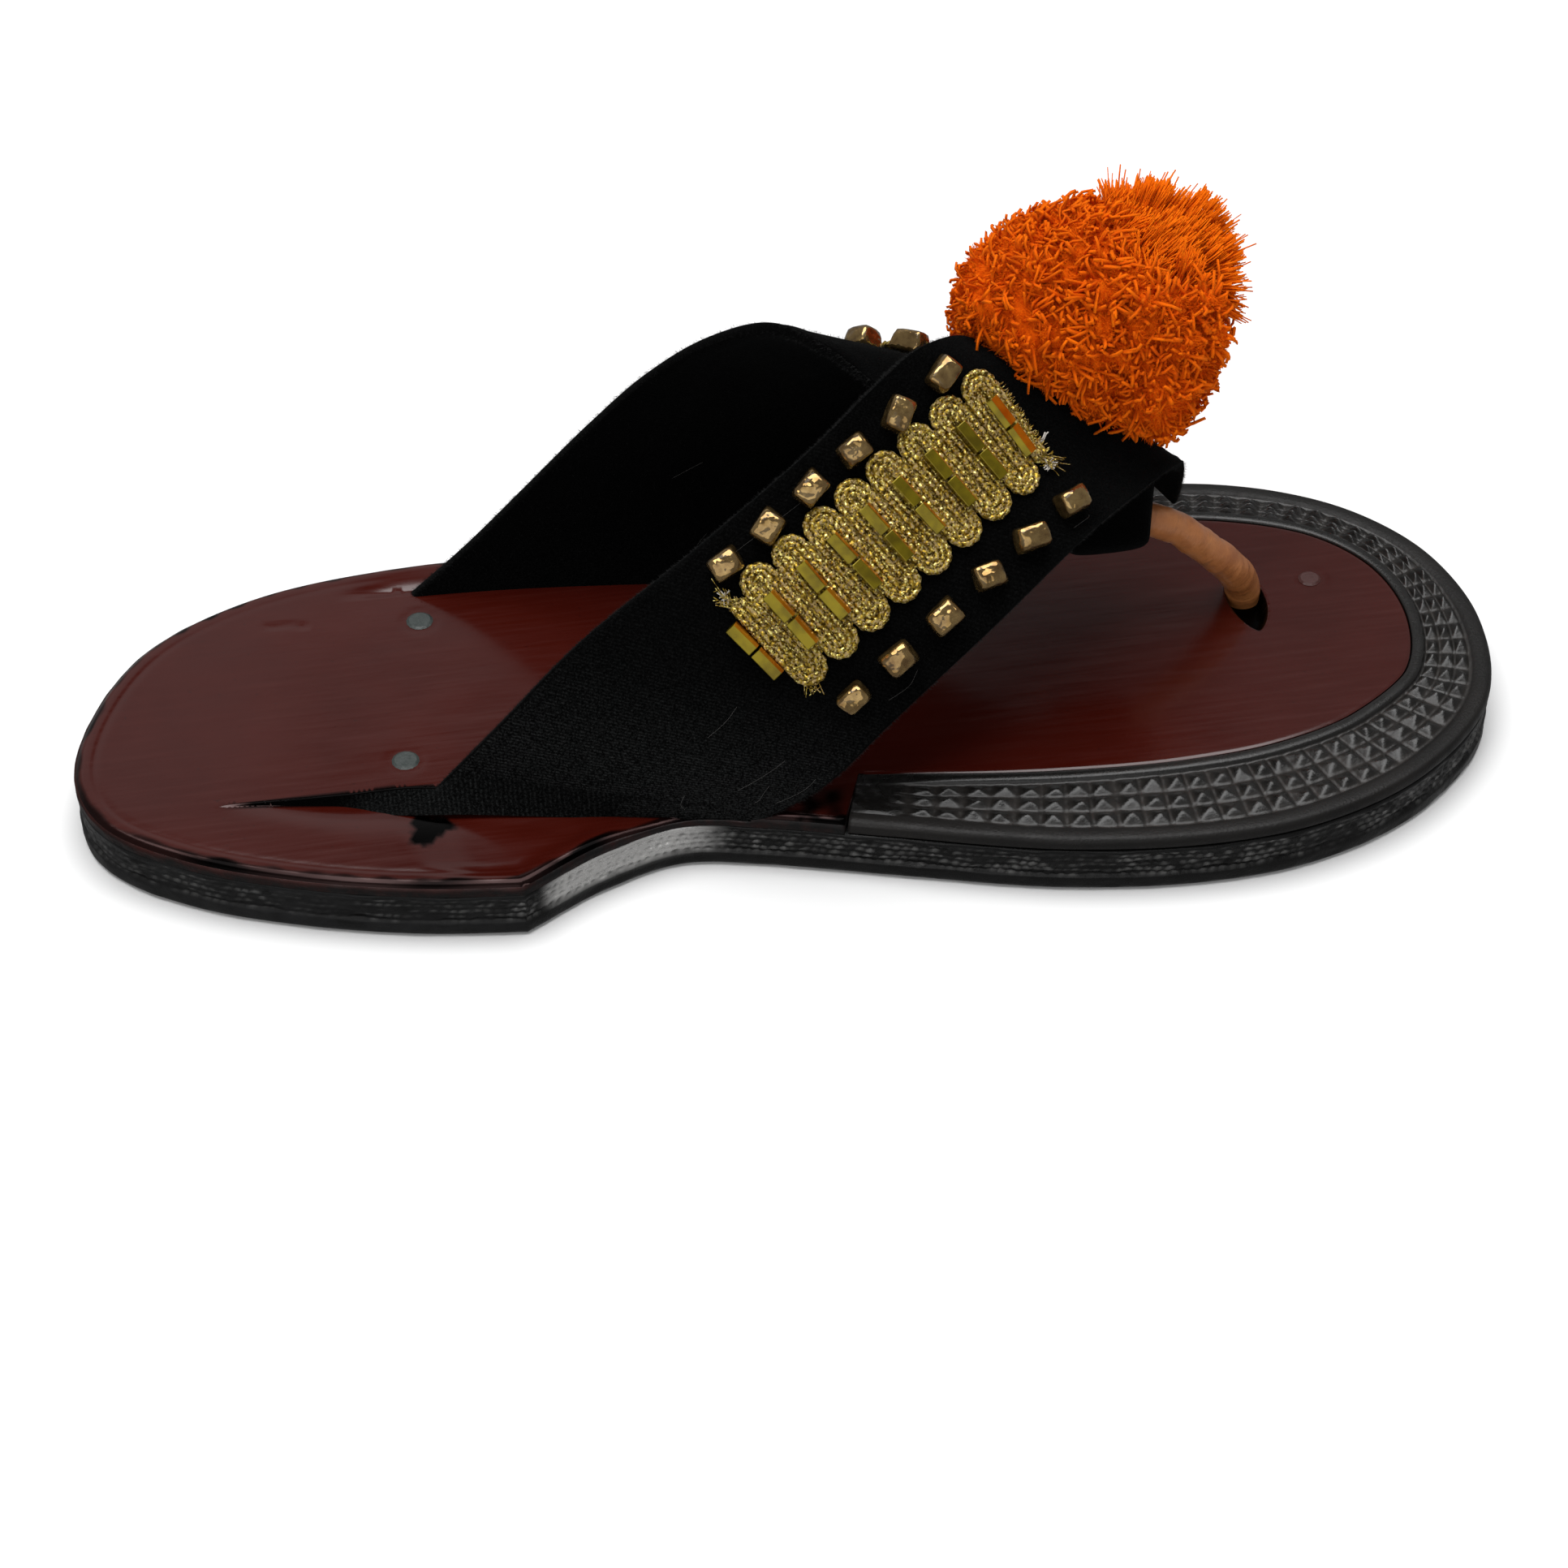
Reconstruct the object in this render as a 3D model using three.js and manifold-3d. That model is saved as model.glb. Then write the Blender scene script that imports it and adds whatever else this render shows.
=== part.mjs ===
// Ahenema sandal for the right foot: a flat leather sole, two crossed velvet straps and a toe post.
// Millimetres. +X points to the toe, +Y to the inner side of the foot, +Z up, floor at Z = 0.
import * as THREE from "three";
import { mergeVertices } from "three/addons/utils/BufferGeometryUtils.js";
import Module from "manifold-3d";

const wasm = await Module();
wasm.setup();

// Driving dimensions
const CLEARANCE = 0.3;
const OUTSOLE_TOP = 10.3;
const INSOLE_BOTTOM = OUTSOLE_TOP + CLEARANCE;
const INSOLE_TOP = 13.5;
const OUTLINE_STEPS = 112;

const STRAP_WALL = 2.6;
const STRAP_ROWS = 24;
const STRAP_COLUMNS = 6;

// Slits that the straps and the toe post go down through
const SLIT_ROWS = 3;
const SLIT_ROOM = 0.4;
const SLIT_PAD = 0.008;
const CUT_LOW = INSOLE_BOTTOM - 1;
const CUT_HIGH = INSOLE_TOP + 3;
const SLIT_TAIL = [
  { x: -118, y: -13.6 },
  { x: -92, y: -15 },
  { x: -72, y: -16 },
  { x: -72, y: -21 },
  { x: -85, y: -21.5 },
  { x: -102, y: -17.5 },
];

// Toe post: route of its middle line, back from the toe slit and up under the strap
const POST_RADIUS = 3.75;
const POST_SIDES = 10;
const POST_STEPS = 14;
const POST_ROUTE = [
  { x: 98.6, y: 16.4, z: INSOLE_BOTTOM },
  { x: 97.8, y: 15.2, z: 16 },
  { x: 94.2, y: 12.8, z: 22.6 },
  { x: 87.4, y: 11.4, z: 30.4 },
  { x: 79.5, y: 11, z: 37.4 },
  { x: 71, y: 11, z: 40.6 },
  { x: 62, y: 11, z: 41.2 },
];
const TOE_SLIT = { x: 98.4, y: 13, half: 10.5, room: 0.5, steps: 16, taper: 1.5 };
const LOOP = { y: 11, back: 58, front: 74, half: 6.4, wall: 2.2, low: 34, high: 80 };

// Pompom: yarn ball, and the tapering locks that stand out of it
const POMPOM = { x: 66.5, y: 25, z: 81.5, core: 24.5 };
const LOCK = { count: 38, sides: 5, root: 13, base: 5.4, tip: 2, reach: 28, vary: 1.6, wave: 2.7 };
const POMPOM_UNDER = 14;

// Outer edge of the sole, from the sharp heel corner round the heel, inner side, toe and outer side
const OUTLINE = [
  { x: -60.5, y: -45.7 },
  { x: -80, y: -42.8 },
  { x: -103, y: -36.5 },
  { x: -125, y: -27 },
  { x: -140, y: -15 },
  { x: -145, y: -1 },
  { x: -141.5, y: 17 },
  { x: -129, y: 37 },
  { x: -107, y: 49.6 },
  { x: -72, y: 55.2 },
  { x: -35, y: 52.4 },
  { x: 5, y: 49.6 },
  { x: 45, y: 52.4 },
  { x: 78, y: 55.2 },
  { x: 105, y: 51 },
  { x: 126, y: 40.4 },
  { x: 140, y: 23 },
  { x: 145, y: 0 },
  { x: 139, y: -25 },
  { x: 120, y: -43.5 },
  { x: 97, y: -53 },
  { x: 74, y: -55.2 },
  { x: 45, y: -51.8 },
  { x: 12, y: -42.4 },
  { x: -12, y: -35.2 },
  { x: -28, y: -32.2 },
  { x: -44, y: -36.8 },
  { x: -60.5, y: -45.7 },
];

// Steps of the sole's side: height and how far the wall lies inside the outline
const OUTSOLE_STEPS = [
  { z: 0, inset: 0.9 },
  { z: 0.9, inset: 0 },
  { z: 3.4, inset: 0 },
  { z: 3.8, inset: 0.5 },
  { z: 9.4, inset: 0.5 },
  { z: 9.8, inset: 0.2 },
  { z: OUTSOLE_TOP, inset: 0.5 },
];
const INSOLE_STEPS = [
  { z: INSOLE_BOTTOM, inset: 0.5 },
  { z: 11.2, inset: 0.1 },
  { z: 12.7, inset: 0.1 },
  { z: INSOLE_TOP, inset: 0.9 },
];

// Tooled border: width at even steps along it, from its inner end round the toe to its outer end
const BORDER = { innerEndX: 12, outerEndX: 4, pitch: 5.3, rows: 3, beyond: 4 };
const BORDER_WIDTHS = [12, 12.5, 13, 12.8, 15.6, 20, 22.2, 20.2, 14.5];
const BORDER_BEAD = { width: 3, top: 14 };
const BORDER_FIELD = { base: 12.9, peak: 14.1 };
const BORDER_RIM = { width: 4.6, slope: 1.1 };

// Each strap leg, a row for each section: its heel-side edge, its toe-side edge and its crown between them
const OUTER_LEG = [
  { rear: [-77, -15.8, 10.9], front: [-14, -34.5, 10.9], crown: 1.5 },
  { rear: [-61, -15.5, 28.6], front: [0, -36, 20.5], crown: 1.8 },
  { rear: [-44, -14, 46.3], front: [13, -34.5, 33.3], crown: 1.8 },
  { rear: [-21.6, -9.5, 61.7], front: [33, -28.5, 48.8], crown: 1.8 },
  { rear: [3.6, -1.5, 77.5], front: [58, -12.5, 59], crown: 1.8 },
  { rear: [16.8, 4.5, 86], front: [70, -2, 58.3], crown: 2 },
  { rear: [26, 10, 89.5], front: [79, 6.5, 56.6], crown: 2.4 },
  { rear: [35, 17, 86.5], front: [82.6, 13, 51], crown: 2.4 },
  { rear: [43, 24, 77.5], front: [83, 16.5, 40], crown: 2 },
];
const INNER_LEG = [
  { rear: [-76, 46, 10.9], front: [-3, 37, 10.9], crown: 1.5 },
  { rear: [-61.7, 46.5, 23.6], front: [10, 39, 22], crown: 1.8 },
  { rear: [-48.3, 46, 38], front: [24, 38.5, 33], crown: 1.8 },
  { rear: [-35.3, 44.5, 53], front: [37, 35.5, 41.5], crown: 1.8 },
  { rear: [-23, 40.5, 67.8], front: [49, 31, 46.5], crown: 1.8 },
  { rear: [-11.3, 34.5, 79.5], front: [59, 26, 48.6], crown: 2 },
  { rear: [-0.3, 26, 87.5], front: [68, 20, 49.6], crown: 3 },
  { rear: [8, 16.5, 88.3], front: [75.5, 14, 52.2], crown: 5 },
  { rear: [16.5, 6.8, 85], front: [78, 8.5, 54], crown: 5 },
];

// Ornament on each leg, measured up the leg's middle line from the slit
const ORNAMENT_START = { outer: 55, inner: 43.5 };
const ORNAMENT_MIDDLE = -2.6;
const BRAID = { lobes: 8, pitch: 8, lead: 3.4, halfWidth: 9.2, lobe: 2.4, thick: 1.5, relief: 0.4 };
const BUGLE = { length: 6.3, side: 2.6, gap: 0.5, rows: 9, first: -4, below: 1.2, pitch: 8 };
const NUGGET = { count: 6, long: 7, wide: 5.4, high: 4.2 };
const NUGGET_LINES = [
  { edge: "rear", across: -18.4, first: 1.5, pitch: 10.8 },
  { edge: "front", across: 16.6, first: 2.6, pitch: 11.6 },
];

const NAILS = [
  { name: "nail_heel_outer", x: -79.6, y: -6.5, radius: 2.8 },
  { name: "nail_heel_inner", x: -72.5, y: 35.6, radius: 2.8 },
  { name: "nail_toe", x: 113.2, y: 16.7, radius: 2.4 },
];
const NAIL_HEAD = { high: 0.35, crown: 0.8, sides: 14 };

// Finishes
const finish = (color, roughness, metalness = 0) =>
  new THREE.MeshStandardMaterial({ color, roughness, metalness });
const FINISH = {
  blackLeather: finish(0x1c1a19, 0.45),
  oxblood: finish(0x451a16, 0.35),
  velvet: finish(0x0d0c0c, 0.95),
  tanLeather: finish(0x9a5528, 0.55),
  yarn: finish(0xe06a08, 0.95),
  braid: finish(0xb08f45, 0.45, 0.6),
  glass: finish(0x7a6a10, 0.2),
  gold: finish(0xa87a48, 0.3, 0.7),
  iron: finish(0x3c3c3d, 0.5, 0.7),
};

const vec = (p) => new THREE.Vector3(...p);
const mix = THREE.MathUtils.lerp;

// A geometry from corner points and faces given as loops of corner numbers
function polyhedron(points, loops) {
  const index = loops.flatMap((loop) =>
    loop.slice(2).flatMap((corner, i) => [loop[0], loop[i + 1], corner]),
  );
  const geometry = new THREE.BufferGeometry().setFromPoints(points);
  return geometry.setIndex(index);
}

function toSolid(geometry) {
  const bare = new THREE.BufferGeometry();
  bare.setAttribute("position", geometry.getAttribute("position"));
  bare.setIndex(geometry.index);
  const merged = mergeVertices(bare, 1e-4);
  return new wasm.Manifold(
    new wasm.Mesh({
      numProp: 3,
      vertProperties: new Float32Array(merged.getAttribute("position").array),
      triVerts: new Uint32Array(merged.index.array),
    }),
  );
}

function toGeometry(solid) {
  const mesh = solid.getMesh();
  const geometry = new THREE.BufferGeometry();
  geometry.setAttribute("position", new THREE.BufferAttribute(mesh.vertProperties, 3));
  return geometry.setIndex(new THREE.BufferAttribute(mesh.triVerts, 1));
}

// Sole outline as evenly spaced points, with the way inwards at each
const outlineCurve = new THREE.CatmullRomCurve3(
  OUTLINE.map(({ x, y }) => new THREE.Vector3(x, y, 0)),
  false,
  "centripetal",
);
const outline = outlineCurve.getSpacedPoints(OUTLINE_STEPS).slice(0, OUTLINE_STEPS);

function inwardAt(i) {
  const before = outline[(i + OUTLINE_STEPS - 1) % OUTLINE_STEPS];
  const after = outline[(i + 1) % OUTLINE_STEPS];
  const run = after.clone().sub(before).normalize();
  return new THREE.Vector3(run.y, -run.x, 0);
}

const edgeAt = (i, inset, z) => outline[i].clone().addScaledVector(inwardAt(i), inset).setZ(z);

// A solid from closed rings of points, each ring above the last
function stackedRings(rings) {
  const size = rings[0].length;
  const points = rings.flat();
  const flat = (ring) => ring.map((p) => new THREE.Vector2(p.x, p.y));
  const bottom = THREE.ShapeUtils.triangulateShape(flat(rings[0]), []);
  const last = rings.length - 1;
  const top = THREE.ShapeUtils.triangulateShape(flat(rings[last]), []);
  const loops = bottom.map(([a, b, c]) => [a, c, b]);
  top.forEach((face) => loops.push(face.map((corner) => corner + last * size)));
  for (let r = 0; r < last; r += 1) {
    for (let i = 0; i < size; i += 1) {
      const next = (i + 1) % size;
      const low = r * size;
      const high = low + size;
      loops.push([low + i, low + next, high + next, high + i]);
    }
  }
  return polyhedron(points, loops);
}

const soleRings = (steps) =>
  steps.map(({ z, inset }) => outline.map((_, i) => edgeAt(i, inset, z)).reverse());

// A straight-sided plug of a plan shape, used for slits and cuts
function plug(planPoints, bottom, top) {
  const clockwise = THREE.ShapeUtils.isClockWise(planPoints);
  const counter = clockwise ? [...planPoints].reverse() : planPoints;
  return stackedRings([bottom, top].map((z) => counter.map(({ x, y }) => new THREE.Vector3(x, y, z))));
}

// Border stations: evenly spaced places on the outline from the inner end round to the outer end
const widthCurve = new THREE.SplineCurve(BORDER_WIDTHS.map((width, i) => new THREE.Vector2(i, width)));
function borderStations() {
  const fine = outlineCurve.getSpacedPoints(OUTLINE_STEPS * 8);
  const half = fine.findIndex((p) => p.x > 0 && p.y > 0);
  const start = fine.findIndex((p, i) => i >= half && p.x >= BORDER.innerEndX);
  const end = fine.findIndex((p, i) => i > start && p.y < 0 && p.x <= BORDER.outerEndX);
  const length = (outlineCurve.getLength() * (end - start)) / (fine.length - 1);
  const columns = Math.round(length / BORDER.pitch);
  return Array.from({ length: columns + 1 }, (_, c) => {
    const at = mix(start, end, c / columns) / (fine.length - 1);
    const run = outlineCurve.getTangentAt(at);
    return {
      edge: outlineCurve.getPointAt(at),
      inward: new THREE.Vector3(run.y, -run.x, 0).normalize(),
      width: widthCurve.getPoint(c / columns).y,
    };
  });
}
const stations = borderStations();
const borderPoint = ({ edge, inward }, depth, z) =>
  edge.clone().addScaledVector(inward, depth).setZ(z);

// Section of the border at one station, from its outer wall over the rim, field and bead to its inner wall
function borderSection(station) {
  const { width } = station;
  const field = width - BORDER_BEAD.width - BORDER_RIM.width;
  const rowWidth = field / BORDER.rows;
  const section = INSOLE_STEPS.map(({ z, inset }) => [inset, z]);
  section.push([BORDER_RIM.width - BORDER_RIM.slope, INSOLE_TOP]);
  for (let row = 0; row <= BORDER.rows; row += 1)
    section.push([BORDER_RIM.width + row * rowWidth, BORDER_FIELD.base]);
  section.push([width - BORDER_BEAD.width / 2, BORDER_BEAD.top]);
  section.push([width, INSOLE_TOP]);
  section.push([width, INSOLE_BOTTOM]);
  return section.map(([depth, z]) => borderPoint(station, depth, z));
}

function borderGeometry() {
  const sections = stations.map(borderSection);
  const size = sections[0].length;
  const points = sections.flat();
  const loops = [];
  const fieldStart = INSOLE_STEPS.length + 1;
  for (let c = 0; c < sections.length - 1; c += 1) {
    for (let k = 0; k < size; k += 1) {
      const here = c * size;
      const next = here + size;
      const up = (k + 1) % size;
      const cell = [here + k, here + up, next + up, next + k];
      const inField = k >= fieldStart && k < fieldStart + BORDER.rows;
      if (!inField) {
        loops.push(cell);
        continue;
      }
      // Each cell of the field rises to one pyramid
      const peak = new THREE.Vector3();
      cell.forEach((corner) => peak.addScaledVector(points[corner], 1 / cell.length));
      points.push(peak.setZ(BORDER_FIELD.peak));
      cell.forEach((corner, i) => loops.push([corner, cell[(i + 1) % cell.length], points.length - 1]));
    }
  }
  const capLoop = (c) => Array.from({ length: size }, (_, k) => c * size + k);
  const capFaces = (c, flip) => {
    const depthOf = (k) => points[c * size + k].clone().sub(stations[c].edge).dot(stations[c].inward);
    const plan = capLoop(c).map((corner, k) => new THREE.Vector2(depthOf(k), points[corner].z));
    const faces = THREE.ShapeUtils.triangulateShape(plan, []);
    return faces.map((face) => {
      const corners = face.map((k) => c * size + k);
      return flip ? corners.reverse() : corners;
    });
  };
  loops.push(...capFaces(0, false), ...capFaces(sections.length - 1, true));
  return polyhedron(points, loops);
}

// Plan shape of the border, grown inwards by the clearance, which the insole is cut to
function borderPlan() {
  const first = stations[0];
  const last = stations[stations.length - 1];
  const run = (a, b) => a.edge.clone().sub(b.edge).normalize().multiplyScalar(CLEARANCE);
  const padded = [
    { ...first, edge: first.edge.clone().add(run(first, stations[1])) },
    ...stations,
    { ...last, edge: last.edge.clone().add(run(last, stations[stations.length - 2])) },
  ];
  const inner = padded.map((s) => borderPoint(s, s.width + CLEARANCE, 0));
  const outer = padded.map((s) => borderPoint(s, -BORDER.beyond, 0)).reverse();
  return [...inner, ...outer];
}

// Strap leg: a surface between its two edge curves, crowned across, with its own frame anywhere on it
function makeLeg(rows, outward) {
  const rear = new THREE.CatmullRomCurve3(rows.map((row) => vec(row.rear)), false, "centripetal");
  const front = new THREE.CatmullRomCurve3(rows.map((row) => vec(row.front)), false, "centripetal");
  const edgePoint = (curve, s) => {
    const held = THREE.MathUtils.clamp(s, 0, 1);
    return curve.getPoint(held).addScaledVector(curve.getTangent(held), (s - held) * curve.getLength());
  };
  const ruled = (s, v) => edgePoint(rear, s).lerp(edgePoint(front, s), v);
  const step = 0.004;
  const slopes = (place, s, v) => ({
    along: place(s + step, v).sub(place(s - step, v)).divideScalar(2 * step),
    across: place(s, v + step).sub(place(s, v - step)).divideScalar(2 * step),
  });
  const crownAt = (s) => {
    const place = THREE.MathUtils.clamp(s, 0, 1) * (rows.length - 1);
    const row = Math.min(Math.floor(place), rows.length - 2);
    return mix(rows[row].crown, rows[row + 1].crown, place - row);
  };
  const normalOf = ({ along, across }) =>
    along.clone().cross(across).normalize().multiplyScalar(outward);
  const point = (s, v) =>
    ruled(s, v).addScaledVector(normalOf(slopes(ruled, s, v)), crownAt(s) * 4 * v * (1 - v));
  const frame = (s, v) => {
    const slope = slopes(point, s, v);
    return { point: point(s, v), normal: normalOf(slope), ...slope };
  };
  const parts = 400;
  const middle = Array.from({ length: parts + 1 }, (_, i) => point(i / parts, 0.5));
  const lengths = [0];
  for (let i = 1; i < middle.length; i += 1)
    lengths.push(lengths[i - 1] + middle[i].distanceTo(middle[i - 1]));
  const atLength = (distance) => {
    const next = lengths.findIndex((length) => length >= distance);
    return (next - (lengths[next] - distance) / (lengths[next] - lengths[next - 1])) / parts;
  };
  // A place on the leg, measured up its middle line and square across it
  const place = (distance, across) => {
    let s = atLength(distance);
    let v = 0.5;
    const { point: origin, normal } = frame(s, v);
    const reach = 0.08;
    const ahead = point(s + reach, v).sub(point(s - reach, v)).normalize();
    const square = normal.clone().cross(ahead).normalize();
    if (square.dot(frame(s, v).across) < 0) square.negate();
    const passes = 6;
    for (let pass = 0; pass < passes; pass += 1) {
      const here = frame(s, v);
      const off = here.point.clone().sub(origin);
      const missAhead = -off.dot(ahead);
      const missAcross = across - off.dot(square);
      const a = here.along.dot(ahead);
      const b = here.across.dot(ahead);
      const c = here.along.dot(square);
      const d = here.across.dot(square);
      const area = a * d - b * c;
      s += (missAhead * d - missAcross * b) / area;
      v += (missAcross * a - missAhead * c) / area;
    }
    return { ...frame(s, v), along: ahead };
  };
  return { point, frame, place };
}
const outerLeg = makeLeg(OUTER_LEG, -1);
const innerLeg = makeLeg(INNER_LEG, 1);

// A wall on a leg from one height to another off its surface
function legWall(leg, { low, high, startS = 0, endS = 1, pad = 0, rows = STRAP_ROWS }) {
  const layer = (height) =>
    Array.from({ length: rows + 1 }, (_, i) =>
      Array.from({ length: STRAP_COLUMNS + 1 }, (_, j) => {
        const v = mix(-pad, 1 + pad, j / STRAP_COLUMNS);
        const { point, normal } = leg.frame(mix(startS, endS, i / rows), v);
        return point.addScaledVector(normal, height);
      }),
    );
  return closedSheet(layer(low), layer(high), leg === outerLeg);
}

// A solid between two grids of points of the same size
function closedSheet(lowGrid, highGrid, flip) {
  const rows = lowGrid.length;
  const columns = lowGrid[0].length;
  const points = [...lowGrid.flat(), ...highGrid.flat()];
  const lift = rows * columns;
  const at = (i, j) => i * columns + j;
  const loops = [];
  for (let i = 0; i < rows - 1; i += 1) {
    for (let j = 0; j < columns - 1; j += 1) {
      const cell = [at(i, j), at(i + 1, j), at(i + 1, j + 1), at(i, j + 1)];
      loops.push(cell.map((corner) => corner + lift), [...cell].reverse());
    }
  }
  const rim = [];
  for (let i = 0; i < rows - 1; i += 1) rim.push(at(i, 0));
  for (let j = 0; j < columns - 1; j += 1) rim.push(at(rows - 1, j));
  for (let i = rows - 1; i > 0; i -= 1) rim.push(at(i, columns - 1));
  for (let j = columns - 1; j > 0; j -= 1) rim.push(at(0, j));
  rim.forEach((corner, i) => {
    const next = rim[(i + 1) % rim.length];
    loops.push([corner, next, next + lift, corner + lift]);
  });
  const facing = flip ? loops.map((loop) => [...loop].reverse()) : loops;
  return polyhedron(points, facing);
}

// A piece standing on a leg: its X runs up the leg, its Y across and its Z out from the velvet
function seat(geometry, { point, normal, along }, height) {
  const x = along.clone().addScaledVector(normal, -along.dot(normal)).normalize();
  const y = normal.clone().cross(x);
  const matrix = new THREE.Matrix4().makeBasis(x, y, normal);
  matrix.setPosition(point.clone().addScaledVector(normal, height));
  return geometry.applyMatrix4(matrix);
}

const pieces = new THREE.Group();
function add(name, geometry, material) {
  const mesh = new THREE.Mesh(geometry, material);
  mesh.name = name;
  pieces.add(mesh);
}

// Sole layers, the insole cut for the border, the straps, the open tail of the outer slit and the post
const strapCut = (leg) =>
  toSolid(
    legWall(leg, {
      low: -STRAP_WALL - SLIT_ROOM,
      high: SLIT_ROOM,
      startS: -1 / STRAP_ROWS,
      endS: SLIT_ROWS / STRAP_ROWS,
      rows: SLIT_ROWS + 1,
      pad: SLIT_PAD,
    }),
  );

// Plan of the toe slit, a long eye across the foot
function toeSlit() {
  const { x, y, half, room, steps, taper } = TOE_SLIT;
  return Array.from({ length: steps }, (_, i) => {
    const turn = (i / steps) * 2 * Math.PI;
    const open = Math.abs(Math.cos(turn)) ** taper * Math.sign(Math.cos(turn));
    return new THREE.Vector2(x + (POST_RADIUS + room) * open, y + half * Math.sin(turn));
  });
}
const insole = [
  toSolid(plug(borderPlan(), CUT_LOW, CUT_HIGH)),
  strapCut(outerLeg),
  strapCut(innerLeg),
  toSolid(plug(SLIT_TAIL, CUT_LOW, CUT_HIGH)),
  toSolid(plug(toeSlit(), CUT_LOW, CUT_HIGH)),
].reduce((body, cut) => body.subtract(cut), toSolid(stackedRings(soleRings(INSOLE_STEPS))));
const insoleBody = insole.decompose().sort((a, b) => b.volume() - a.volume())[0];

add("outsole", stackedRings(soleRings(OUTSOLE_STEPS)), FINISH.blackLeather);
add("insole", toGeometry(insoleBody), FINISH.oxblood);
const borderBody = toSolid(borderGeometry()).subtract(strapCut(outerLeg));
add("tooled_border", toGeometry(borderBody), FINISH.blackLeather);

// Strap: both legs in one wall, the outer leg crossing over the inner one
const wall = { low: -STRAP_WALL, high: 0 };
const underInsole = toSolid(plug(outline, -INSOLE_BOTTOM, INSOLE_BOTTOM));
const strap = toSolid(legWall(outerLeg, wall))
  .add(toSolid(legWall(innerLeg, wall)))
  .subtract(underInsole);
add("strap", toGeometry(strap), FINISH.velvet);

// Room that the strap and the space under it take up, with clearance
const pastEnd = { endS: 1 + 1 / STRAP_ROWS, rows: STRAP_ROWS + 1 };
const strapRoom = (under) =>
  [outerLeg, innerLeg]
    .map((leg) => toSolid(legWall(leg, { low: -under, high: SLIT_ROOM, ...pastEnd })))
    .reduce((all, one) => all.add(one));

// Toe post: a rolled cord that leaves the toe slit upright and leans back under the strap
const postRoute = POST_ROUTE.map(({ x, y, z }) => new THREE.Vector3(x, y, z));
function postCord(radius) {
  const around = Array.from({ length: POST_SIDES }, (_, i) => {
    const turn = (i / POST_SIDES) * 2 * Math.PI;
    return new THREE.Vector2(radius * Math.cos(turn), radius * Math.sin(turn));
  });
  const cord = new THREE.ExtrudeGeometry(new THREE.Shape(around), {
    steps: POST_STEPS,
    bevelEnabled: false,
    extrudePath: new THREE.CatmullRomCurve3(postRoute),
  });
  return toSolid(cord);
}
add("toe_post", toGeometry(postCord(POST_RADIUS).subtract(underInsole)), FINISH.tanLeather);

// Post loop: a velvet band hanging from the strap, with the post's end in its bend
function bend(inset) {
  const half = LOOP.half - inset;
  const centre = LOOP.low + LOOP.half;
  const shape = new THREE.Shape();
  shape.moveTo(half, LOOP.high + inset);
  shape.lineTo(-half, LOOP.high + inset);
  shape.lineTo(-half, centre);
  shape.absarc(0, centre, half, Math.PI, 2 * Math.PI, false);
  const solid = new THREE.ExtrudeGeometry(shape, {
    depth: LOOP.front - LOOP.back + 2 * inset,
    bevelEnabled: false,
    curveSegments: 8,
  });
  const turn = new THREE.Matrix4().makeBasis(
    new THREE.Vector3(0, 1, 0),
    new THREE.Vector3(0, 0, 1),
    new THREE.Vector3(1, 0, 0),
  );
  turn.setPosition(LOOP.back - inset, LOOP.y, 0);
  return toSolid(solid.applyMatrix4(turn));
}
const loopBody = bend(0)
  .subtract(bend(LOOP.wall))
  .subtract(strapRoom(STRAP_WALL + SLIT_ROOM))
  .subtract(strap.translate([0, -CLEARANCE, -CLEARANCE]))
  .subtract(postCord(POST_RADIUS + CLEARANCE));
const loopParts = loopBody.decompose().sort((a, b) => a.boundingBox().min[2] - b.boundingBox().min[2]);
add("post_loop", toGeometry(loopParts[0]), FINISH.velvet);

// Pompom: a yarn ball with tapering locks fused all round, pressed on the strap's crossing
function lock(direction, reach) {
  const length = reach - LOCK.root;
  const cone = new THREE.CylinderGeometry(LOCK.tip, LOCK.base, length, LOCK.sides, 1);
  cone.translate(0, LOCK.root + length / 2, 0);
  const turn = new THREE.Quaternion().setFromUnitVectors(new THREE.Vector3(0, 1, 0), direction);
  return cone.applyQuaternion(turn);
}
const GOLDEN_TURN = Math.PI * (3 - Math.sqrt(5));
function pompomBody() {
  const core = new THREE.IcosahedronGeometry(POMPOM.core, 3);
  let body = toSolid(core);
  for (let i = 0; i < LOCK.count; i += 1) {
    const up = 1 - (2 * (i + 0.5)) / LOCK.count;
    const ring = Math.sqrt(1 - up * up);
    const turn = i * GOLDEN_TURN;
    const direction = new THREE.Vector3(ring * Math.cos(turn), ring * Math.sin(turn), up);
    const reach = LOCK.reach - LOCK.vary * (0.5 + 0.5 * Math.sin(i * LOCK.wave));
    body = body.add(toSolid(lock(direction, reach)));
  }
  return body.translate([POMPOM.x, POMPOM.y, POMPOM.z]);
}

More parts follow.
